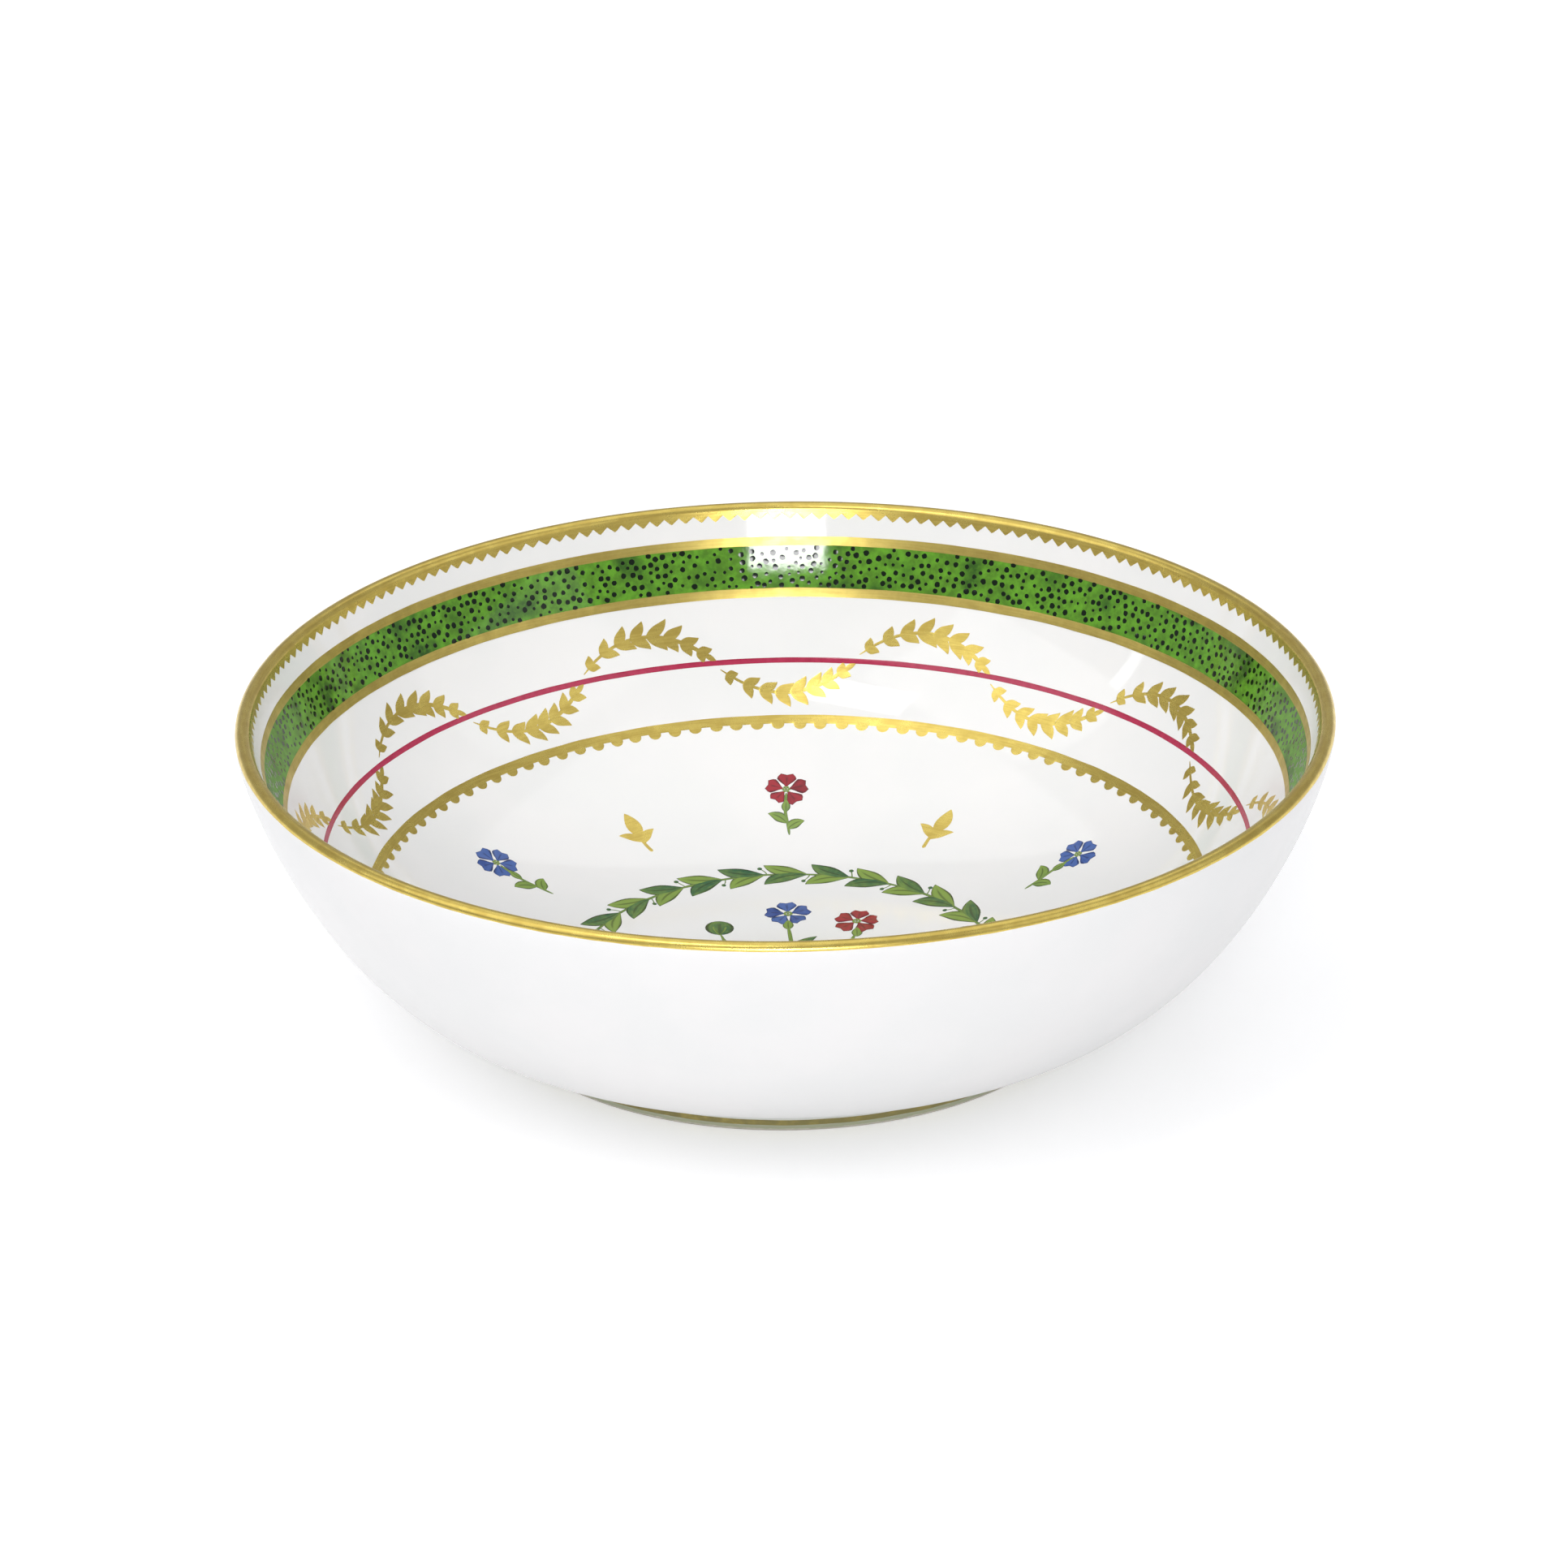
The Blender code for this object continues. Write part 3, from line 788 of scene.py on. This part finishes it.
def makeDentils():
    sheet, rows, rng = newSheet(), [], random.Random(dentils["seed"])
    pitch, top = fullTurn / dentils["count"], dentils["root"] - dentils["tuck"]
    for k in range(dentils["count"]):
        depth = dentils["depth"] * (1 + dentils["uneven"] * rng.uniform(-1, 1))
        peak = 0.5 + dentils["lean"] * rng.uniform(-1, 1)
        for j in range(dentils["columns"]):
            share = j / dentils["columns"]
            height = share / peak if share < peak else (1 - share) / (1 - peak)
            low = dentils["root"] + depth * min(height, dentils["blunt"]) + dentils["bar"]
            row = []
            for i in range(dentils["rows"] + 1):
                down = i / dentils["rows"]
                run = top + (low - top) * down
                lift = gilding["film"] + gilding["rise"] * (1 - down**4)
                row.append((place((k + share) * pitch, run, lift), 0.5, 1 - 2 * down, 0.5))
            rows.append(row[::-1])
    addRows(sheet, rows, ring=True)
    paintPiece("dentilEdge", sheet, gold, ["dentil_edge"])


bandLine = {
    "upper": 4.2, "lower": 12.25, "width": 1.42,
    # a tone above one half darkens these lines' gold as painted shade
    "film": 0.05, "rise": 0.01, "unsteady": 0.06, "tone": 0.68, "depth": 0.1,
}


def makeBandLines():
    for name, seed in (("upper", 1), ("lower", 2)):
        top = bandLine[name]
        bottom, node = top + bandLine["width"], f"{name}_band_line"
        makeRing(f"{name}BandLine", node, gold, top, bottom, bandLine, seed)


scallops = {
    "seed": 23, "count": 120, "top": 32.8, "line": 1.5, "bead": 0.95, "beadShare": 0.62,
    "uneven": 0.08, "shift": 0.04, "unsteady": 0.06, "film": 0.015, "rise": 0.012, "tone": 0.5,
    # where a bead is divided, as shares of its width, and the gap after it, as shares of the pitch
    "beadCuts": (0.0, 0.03, 0.1, 0.22, 0.36, 0.5, 0.64, 0.78, 0.9, 0.97, 1.0),
    "gapCuts": (0.75, 0.88),
}


def makeScallops():
    sheet, rows, rng = newSheet(), [], random.Random(scallops["seed"])
    pitch, half = fullTurn / scallops["count"], scallops["beadShare"] / 2
    stations = [2 * half * cut for cut in scallops["beadCuts"]] + list(scallops["gapCuts"])
    root = scallops["top"] + scallops["line"]
    for k in range(scallops["count"]):
        bead = scallops["bead"] * (1 + scallops["uneven"] * rng.uniform(-1, 1))
        shift = scallops["shift"] * rng.uniform(-1, 1)
        for share in stations:
            hang = max(0.0, 1 - ((share - half) / half) ** 2) if share <= 2 * half else 0.0
            angle = (k + share + shift) * pitch
            top = scallops["top"] + scallops["unsteady"] * waver(angle, 5)
            low = root + bead * sqrt(hang) + scallops["unsteady"] * waver(angle, 6)
            rows.append(lineRow(angle, top, low, scallops))
    addRows(sheet, rows, ring=True)
    paintPiece("scallopedLine", sheet, gold, ["scalloped_line"])


footLine = {
    "top": 2.2, "width": 1.0, "wavers": 10.0, "columns": 480,
    # a tone of one darkens this line's gold most, as painted shade from the bowl's shadow
    "film": 0.02, "rise": 0.02, "unsteady": 0.06, "tone": 1.0, "depth": 0.2,
}


def makeFootLine():
    # the foot's side is no part of the painted wall, so this line is laid on the foot's own slope
    sheet, rows = newSheet(), []
    slope = foot["draft"] / (undersideAt(footRadius + foot["fillet"]) - foot["fillet"] - foot["edge"])
    for angle in ringAngles(footLine["columns"]):
        top = footLine["top"] + footLine["unsteady"] * waver(angle, 8, footLine["wavers"])
        row = []
        for across in crossing:
            z = top - footLine["width"] * (1 + across) / 2
            r = footRadius - foot["draft"] + slope * (z - foot["edge"])
            r += swelled(across, footLine["film"], footLine["rise"])
            row.append((turned(angle, r, z), 0.5, across, footLine["tone"]))
        rows.append(row)
    addRows(sheet, rows, ring=True)
    paintPiece("footGilding", sheet, gold, ["foot_gilding"], footLine["depth"])


makeLipGilding()
makeDentils()
makeBandLines()
makeScallops()
makeFootLine()
print("gilding: lip, dentils, two band lines, scallops, foot line")

# The green band, its specks and the crimson thread
greenBand = {
    "top": 5.45, "bottom": 12.4, "film": 0.03, "rise": 0.01, "unsteady": 0.0, "tone": 0.5, "depth": 0.08,
}
specks = {
    "seed": 5, "spacing": 1.12, "spacingRange": (0.9, 1.1), "margin": 0.30, "tries": 40000,
    "largeShare": 0.6, "large": (0.38, 0.49), "small": (0.24, 0.33), "ragged": (0.88, 1.1),
    "film": 0.047, "height": 0.02, "sides": 9,
    "rings": ((0.62, 0.72), (1.0, 0.0)),  # shares of a speck's radius and of its height
    "depth": 0.04,
}


def scatterSpecks(rng):
    # points at least a spacing apart, as (angle, run), tried past the band's edges to keep these even
    spacing, margin = specks["spacing"], specks["margin"]
    top, bottom = greenBand["top"] - spacing, greenBand["bottom"] + spacing
    radius = wallRadius((top + bottom) / 2)
    around = int(fullTurn * radius / spacing)
    cells, found = {}, []
    for _ in range(specks["tries"]):
        angle, run = rng.uniform(0, fullTurn), rng.uniform(top, bottom)
        cell = (int(angle / fullTurn * around), int(run / spacing))
        near = [
            spot
            for i in (-1, 0, 1)
            for j in (-1, 0, 1)
            for spot in cells.get(((cell[0] + i) % around, cell[1] + j), [])
        ]
        gaps = [hypot(remainder(angle - other, fullTurn) * radius, run - level) for other, level in near]
        if gaps and min(gaps) < spacing * rng.uniform(*specks["spacingRange"]):
            continue
        cells.setdefault(cell, []).append((angle, run))
        if greenBand["top"] + margin < run < greenBand["bottom"] - margin:
            found.append((angle, run))
    return found


def makeSpecks():
    sheet, rng = newSheet(), random.Random(specks["seed"])
    sides, film = specks["sides"], specks["film"]
    spots = scatterSpecks(rng)
    for angle, run in spots:
        size = rng.uniform(*(specks["large"] if rng.random() < specks["largeShare"] else specks["small"]))
        at = wallPlace(angle, run)
        first = len(sheet["points"])
        turn, height = rng.uniform(0, fullTurn), specks["height"] * size
        shape = [rng.uniform(*specks["ragged"]) for _ in range(sides)]
        sheet["points"].append(at(0, 0, film + height))
        for share, rise in specks["rings"]:
            for k in range(sides):
                bearing = turn + k * fullTurn / sides
                reach = size * share * shape[k]
                lift = film + height * rise
                sheet["points"].append(at(reach * cos(bearing), reach * sin(bearing), lift))
        for k in range(sides):
            a, b = first + 1 + k, first + 1 + (k + 1) % sides
            sheet["faces"].append((first, a, b))
            sheet["faces"].append((a, a + sides, b + sides, b))
    sheet["strokes"] = [(0.5, 0.0, 0.5)] * len(sheet["points"])
    print("specks:", len(spots))
    paintPiece("greenBandSpecks", sheet, speckPaint, [], specks["depth"])


thread = {
    "run": 23.68, "width": 0.86,
    "film": 0.012, "rise": 0.02, "unsteady": 0.05, "tone": 0.5, "depth": layerDepth,
}
threadTop, threadBottom = thread["run"] - thread["width"] / 2, thread["run"] + thread["width"] / 2

bandTop, bandBottom = greenBand["top"], greenBand["bottom"]
makeRing("greenBand", "green_band", green, bandTop, bandBottom, greenBand, 4)
makeSpecks()
makeRing("crimsonThread", "crimson_thread", crimson, threadTop, threadBottom, thread, 9)
print("enamel bands: green band, specks, crimson thread")

# The frieze of gold twigs along the crimson thread
twig = {
    "seed": 31, "count": 20, "space": 1.6, "offset": 1.1, "bow": 4.2, "stemWidths": (0.4, 0.75),
    "leaves": 8, "leafLength": 3.9, "leafWidth": 1.75, "leafBend": 0.10, "splay": 38,
    "endLength": 1.6, "endWidth": 0.9, "film": 0.014, "rise": 0.006,
}


def addTwig(sheet, at, side, length, rng):
    def spine(share):
        # the bowed stem, above or below the thread, from 0 at one end to 1 at the other
        bow = 1 - (2 * share - 1) ** 2
        return Vector(((share - 0.5) * length, side * (twig["offset"] + twig["bow"] * bow)))

    film, rise, splay = twig["film"], twig["rise"], radians(twig["splay"])
    addStem(sheet, at, steps(8, spine), *twig["stemWidths"], rise=rise, count=32)
    for j in range(twig["leaves"]):
        share = (j + 0.35) / twig["leaves"]
        base, heading = spine(share), spine(share + 0.01) - spine(share - 0.01)
        bearing = atan2(heading.y, heading.x)
        size = 0.45 + 0.55 * (1 - (2 * share - 1) ** 2)
        width = twig["leafWidth"] * (0.55 + 0.45 * size)
        for hand in (-1, 1):
            reach = twig["leafLength"] * size * rng.uniform(0.9, 1.08)
            turn = bearing + hand * splay * rng.uniform(0.85, 1.12)
            tip = base + Vector((cos(turn), sin(turn))) * reach
            lift = film + filmStep * ((2 * j + hand) % 5)
            addLeaf(sheet, at, base, tip, width, twig["leafBend"] * hand, 0.5, lift, rise, 0.42, 10)
    end = spine(1.0)
    tip = end + (end - spine(0.97)).normalized() * twig["endLength"]
    addLeaf(sheet, at, spine(0.95), tip, twig["endWidth"], 0.0, 0.5, film, rise, 0.5, 8)


def makeFrieze():
    sheet, rng, run = newSheet(), random.Random(twig["seed"]), thread["run"]
    length = fullTurn * wallRadius(run) / twig["count"] - twig["space"]
    for k, angle in enumerate(ringAngles(twig["count"])):
        addTwig(sheet, wallPlace(angle, run), -1 if k % 2 else 1, length, rng)
    paintPiece("friezeTwigs", sheet, gold, numbered("frieze_twig", twig["count"], 2))


makeFrieze()
print("frieze: gold twigs")

# Blossoms, their stems and the gold sprigs
blossom = {
    "petals": 5, "petalSpread": 34, "petalNotch": 0.16, "petalRows": 9, "openMiddle": 0.16,
    "film": 0.014, "rise": 0.022, "stamenRadius": 0.22, "stamenTone": 0.05,
}


def addBlossom(sheet, at, centre, radius, rng, turn):
    # notched petals round an open middle
    count, half = blossom["petals"], radians(blossom["petalSpread"])
    inner = blossom["openMiddle"] * radius
    for k in range(count):
        middle = turn + k * fullTurn / count + rng.uniform(-0.05, 0.05)
        reach, tone = radius * rng.uniform(0.93, 1.04), rng.uniform(0.2, 0.9)
        film, rows = blossom["film"] + filmStep * (k % 2), []
        for i in range(blossom["petalRows"] + 1):
            t = i / blossom["petalRows"]
            spread = half * (0.42 + 0.58 * sin(pi / 2 * min(1.0, t * 1.25)))
            row = []
            for across in leafCrossing:
                notch = blossom["petalNotch"] * max(0.0, 1 - 2.2 * abs(across))
                lobe = 1 - 0.26 * across * across - notch
                distance = inner + (reach * lobe - inner) * t
                bearing = middle - across * spread
                x = centre[0] - distance * sin(bearing)
                y = centre[1] + distance * cos(bearing)
                row.append((at(x, y, swelled(across, film, blossom["rise"])), t, across, tone))
            rows.append(row)
        addRows(sheet, rows)


def addStamens(sheet, at, centre, count, reach, film):
    # a ring of dots, and one in the middle
    x, y = centre
    spots = [(x + reach * cos(a), y + reach * sin(a)) for a in ringAngles(count)]
    for spot in spots + [centre]:
        addDot(sheet, at, spot, blossom["stamenRadius"], blossom["stamenTone"], film)


# drawn from the middle of a blossom or of a gold sprig; leaves by base, tip, width and bend
sprigs = {
    "seed": 47, "count": 6, "blossomRun": 46.95, "blossomRadius": 3.6, "stamens": 6, "stamenReach": 0.46,
    "stem": [(0, -0.8), (-0.2, -4.6), (0.15, -7.4), (0.5, -10.4)], "stemWidths": (0.6, 0.5),
    "leaves": [((0.0, -7.6), (-3.2, -5.2), 2.2, 0.12), ((0.2, -9.0), (3.2, -7.0), 2.2, -0.12)],
    "calyx": ((-0.15, -5.0), (0.0, -2.2), 1.5, 0.0),
    "goldRun": 52.55, "goldFilm": 0.014, "goldRise": 0.006,
    "goldStem": [(0.15, -4.7), (-0.05, -2.6), (0, 0.5)], "goldStemWidths": (0.7, 0.5),
    "goldLeaves": [
        ((0, -1.0), (0.2, 4.7), 2.4, 0.04),
        ((0, -2.5), (3.0, 0.2), 1.7, -0.12),
        ((0, -2.2), (-3.0, 0.5), 1.7, 0.12),
    ],
}


def makeSprigs():
    rng = random.Random(sprigs["seed"])
    stems, golds = newSheet(), newSheet()
    count, radius, goldRise = sprigs["count"], sprigs["blossomRadius"], sprigs["goldRise"]
    pitch = fullTurn / count
    heads = {"red": newSheet(), "blue": newSheet()}
    for k in range(count):
        angle = pi / 2 + k * pitch
        at = wallPlace(angle, sprigs["blossomRun"])
        addBlossom(heads[("red", "blue")[k % 2]], at, (0, 0), radius, rng, rng.uniform(-0.15, 0.15))
        addStem(stems, at, sprigs["stem"], *sprigs["stemWidths"], 0.4)
        for leaf in sprigs["leaves"]:
            addLeaf(stems, at, *leaf, rng.uniform(0.1, 0.4), 0.018)
        addLeaf(stems, at, *sprigs["calyx"], 0.35, 0.02)
        addStamens(stems, at, (0, 0), sprigs["stamens"], sprigs["stamenReach"], 0.03)
        at = wallPlace(angle + pitch / 2, sprigs["goldRun"])
        addStem(golds, at, sprigs["goldStem"], *sprigs["goldStemWidths"], rise=goldRise)
        for j, leaf in enumerate(sprigs["goldLeaves"]):
            addLeaf(golds, at, *leaf, 0.5, sprigs["goldFilm"] + filmStep * j, goldRise)
    for colour, paint in (("red", red), ("blue", blue)):
        paintPiece(f"{colour}Blossoms", heads[colour], paint, numbered(f"{colour}_blossom", count // 2))
    paintPiece("blossomStems", stems, leafGreen, numbered("blossom_stem", count))
    paintPiece("goldSprigs", golds, gold, numbered("gold_sprig", count))


makeSprigs()
print("sprigs: blossoms, stems, gold sprigs")

# The wreath and the posy on the floor
wreath = {
    "seed": 61, "pairs": 30, "run": 67.65, "stem": 0.5, "columns": 420,
    "film": 0.012, "rise": 0.015, "unsteady": 0.12, "tone": 0.55,
    "forward": 6.9, "out": 2.9, "leafWidth": 2.9, "leafBend": 0.10, "berry": 0.36,
}


def makeWreath():
    sheet, rng = newSheet(), random.Random(wreath["seed"])
    run, half = wreath["run"], wreath["stem"] / 2
    addRing(sheet, run - half, run + half, wreath, 12, wreath["columns"])
    for k, angle in enumerate(ringAngles(wreath["pairs"])):
        at = wallPlace(angle, run)
        for hand in (1, -1):
            deep = (k + (hand > 0)) % 2
            tone = rng.uniform(0.75, 1.0) if deep else rng.uniform(0.0, 0.25)
            forward = wreath["forward"] * rng.uniform(0.92, 1.06)
            out = wreath["out"] * rng.uniform(0.88, 1.08)
            base, tip = (-0.3, 0.15 * hand), (-forward, out * hand)
            bend, film = -wreath["leafBend"] * hand, 0.016 + 0.003 * deep
            addLeaf(sheet, at, base, tip, wreath["leafWidth"], bend, tone, film, 0.02, 0.5)
            if deep:
                # a berry on its stalk beside each deep leaf
                spot = (-0.4 - rng.uniform(0, 0.4), hand * rng.uniform(1.5, 1.9))
                addStem(sheet, at, [(0.2, 0.0), (-0.1, hand * 0.9), spot], 0.2, 0.16, 0.6, count=8)
                addDot(sheet, at, spot, wreath["berry"], 0.95)
    paintPiece("leafWreath", sheet, leafGreen, ["leaf_wreath"])


# drawn from the middle of the floor; leaves by base, tip, width, bend, tone and film
posy = {
    "seed": 71, "spread": 10.5, "rise": 17.0, "middleRise": 20.0, "drop": 15.0,
    "blossomRadius": 3.8, "stamens": 8, "stamenReach": 0.52,
    "sideBends": [(3.4, -8.0), (7.0, 2.0)],  # the right side's, mirrored on the left
    "sideLeaves": [
        ((5.0, -3.6), (14.2, -1.4), 3.4, -0.10, 0.15, 0.018),
        ((7.6, 3.6), (13.0, 8.0), 2.4, 0.10, 0.9, 0.02),
    ],
    "middleBends": [(-0.7, -4), (0.5, 7)],
    "middleLeaves": [
        ((0.3, 4.5), (-4.6, 10.4), 2.6, 0.10, 0.2, 0.018),
        ((0.4, 6.5), (4.4, 12.6), 2.4, -0.10, 0.8, 0.02),
    ],
    "budRadius": 2.2,
    "sepalTurns": (-0.6, 0.0, 0.6),
}


def makePosy():
    rng = random.Random(posy["seed"])
    stems, bud = newSheet(), newSheet()
    spread, rise, radius = posy["spread"], posy["rise"], posy["blossomRadius"]
    heads = (("Blue", blue, (0.0, posy["middleRise"]), 0.1), ("Red", red, (spread, rise), -0.2))
    for name, paint, (x, y), turn in heads:
        head, colour, neck = newSheet(), name.lower(), y - radius
        addBlossom(head, floorPlace, (x, y), radius, rng, turn)
        paintPiece(f"posy{name}Blossom", head, paint, [f"posy_{colour}_blossom"])
        addLeaf(stems, floorPlace, (x, neck - 1.2), (x, neck + 1.8), 1.7, 0.0, 0.3, 0.022)
        addStamens(stems, floorPlace, (x, y), posy["stamens"], posy["stamenReach"], 0.034)
    root, neck = (0, -posy["drop"]), rise - radius
    for side in (-1, 1):
        bends = [(side * x, y) for x, y in posy["sideBends"]]
        addStem(stems, floorPlace, [root] + bends + [(side * (spread - 0.2), neck)], 0.9, 0.7, 0.35)
        for (x0, y0), (x1, y1), width, bend, tone, film in posy["sideLeaves"]:
            addLeaf(stems, floorPlace, (side * x0, y0), (side * x1, y1), width, side * bend, tone, film)
    route = [root] + posy["middleBends"] + [(0, posy["middleRise"] - radius)]
    addStem(stems, floorPlace, route, 0.9, 0.6, 0.4)
    for leaf in posy["middleLeaves"]:
        addLeaf(stems, floorPlace, *leaf)
    paintPiece("posyStems", stems, leafGreen, ["posy_stems"])
    top = neck + posy["budRadius"]
    addDot(bud, floorPlace, (-spread, top), posy["budRadius"], 0.8, 0.016)
    for turn in posy["sepalTurns"]:
        tip = (1.9 * sin(turn) - spread, top - 2.0 + 2.9 * cos(turn))
        addLeaf(bud, floorPlace, (-spread, top - 2.3), tip, 1.1, 0.0, 0.15, 0.026)
    paintPiece("posyBud", bud, leafGreen, ["posy_bud"])


makeWreath()
makePosy()
print("floor: wreath and posy")

# Studio: floor, lights, world and camera
studio = {
    # lengths here are metres, powers watts
    "floorSize": 6.0, "floorColour": srgb(238, 238, 238), "floorRoughness": 0.9,
    # how much white the floor shows by itself, under the object and from a reach on
    "nearLift": 0.36, "farLift": 0.64, "liftReach": (0.15, 0.75),
    "ambient": 0.465, "roomColour": (0.95, 0.955, 1.0, 1.0), "sweepTop": (0.0, 0.12),
    "lampAim": 0.6,  # a share of the rim's height
    # name: (azimuth from the camera's side towards the right, elevation, distance, width, height, power)
    "softboxes": {
        "frontBox": (-0.9, 20.6, 1.30, 0.365, 0.21, 5.5),
        "leftHighBox": (-34.0, 66.0, 1.30, 0.40, 0.24, 2.1),
        "leftStrip": (-92.0, 21.5, 1.20, 0.065, 0.24, 0.15),
        "leftFill": (-70.0, 46.0, 1.50, 1.30, 1.00, 4.2),
        "rightFill": (72.0, 36.0, 1.50, 1.30, 1.00, 2.2),
        "overheadBox": (180.0, 72.0, 1.50, 1.60, 1.60, 5.2),
    },
}


def throughCamera(tree):
    # 1 for rays that show this surface itself, in the picture or in a reflection
    light = tree.nodes.new("ShaderNodeLightPath").outputs
    shown = larger(light["Is Camera Ray"], light["Is Glossy Ray"])
    return larger(shown, light["Is Transmission Ray"])


def makeFloor():
    half = studio["floorSize"] / 2
    mesh = bpy.data.meshes.new("studioFloor")
    corners = [(-half, -half, 0), (half, -half, 0), (half, half, 0), (-half, half, 0)]
    mesh.from_pydata(corners, [], [(0, 1, 2, 3)])
    material, tree, shader = newMaterial("paperFloor")
    setInput(shader, "Base Color", studio["floorColour"])
    setInput(shader, "Roughness", studio["floorRoughness"])
    setInput(shader, "Specular IOR Level", 0.0)
    setInput(shader, "Emission Color", (1, 1, 1, 1))
    away = vectorMaths("LENGTH", objectPoint(tree))["Value"]
    lift = ramp(away, *studio["liftReach"], studio["nearLift"], studio["farLift"])
    setInput(shader, "Emission Strength", times(throughCamera(tree), lift))
    mesh.materials.append(material)
    floor = bpy.data.objects.new("studioFloor", mesh)
    link(floor)


def makeWorld():
    # a white sweep low down all round, which reflections meet too, under a dimmer room
    world = bpy.data.worlds.new("studioWorld")
    world.use_nodes = True
    tree = world.node_tree
    back = tree.nodes["Background"]
    heading = tree.nodes.new("ShaderNodeTexCoord").outputs["Generated"]
    height = splitVector(heading)[2]
    low, high = studio["sweepTop"]
    light = tree.nodes.new("ShaderNodeLightPath").outputs
    mirrored = times(light["Is Glossy Ray"], ramp(height, high, low))
    seen = larger(light["Is Camera Ray"], light["Is Transmission Ray"])
    white = larger(seen, mirrored)
    setInput(back, "Color", mixColour(white, studio["roomColour"], (1, 1, 1, 1)))
    strength = times(white, 1.0 - studio["ambient"])
    setInput(back, "Strength", plus(strength, studio["ambient"]))
    bpy.context.scene.world = world


def makeLights():
    aim = Vector((0, 0, rimHeight * studio["lampAim"] * mm))
    for name, (azimuth, elevation, distance, width, height, power) in studio["softboxes"].items():
        a, e = radians(azimuth), radians(elevation)
        back = Vector((sin(a) * cos(e), -cos(a) * cos(e), sin(e)))
        lamp = bpy.data.lights.new(name, "AREA")
        lamp.shape = "RECTANGLE"
        lamp.size, lamp.size_y = width, height
        lamp.energy = power
        box = bpy.data.objects.new(name, lamp)
        box.location = aim + back * distance
        box.rotation_euler = (-back).to_track_quat("-Z", "Y").to_euler()
        box.visible_camera = False
        link(box)


view = {
    "distance": 1.65,  # metres
    "elevation": 24.25, "roll": -0.84, "aimBelowRim": 10.79, "aimLeft": 0.32, "lens": 252.7, "sensor": 36.0,
}


def makeCamera():
    e = radians(view["elevation"])
    back, up = Vector((0, -cos(e), sin(e))), Vector((0, sin(e), cos(e)))
    lens = bpy.data.cameras.new("photoView")
    lens.sensor_width, lens.lens = view["sensor"], view["lens"]
    camera = bpy.data.objects.new("photoView", lens)
    aim = Vector((-view["aimLeft"] * mm, 0, rimHeight * mm)) - up * (view["aimBelowRim"] * mm)
    camera.location = aim + back * view["distance"]
    roll = Matrix.Rotation(radians(view["roll"]), 3, "Z")
    camera.rotation_euler = ((-back).to_track_quat("-Z", "Y").to_matrix() @ roll).to_euler()
    link(camera)
    bpy.context.scene.camera = camera


makeFloor()
makeWorld()
makeLights()
makeCamera()
bpy.context.scene.view_settings.view_transform = "Standard"
print("studio: floor, world,", len(studio["softboxes"]), "softboxes, camera")
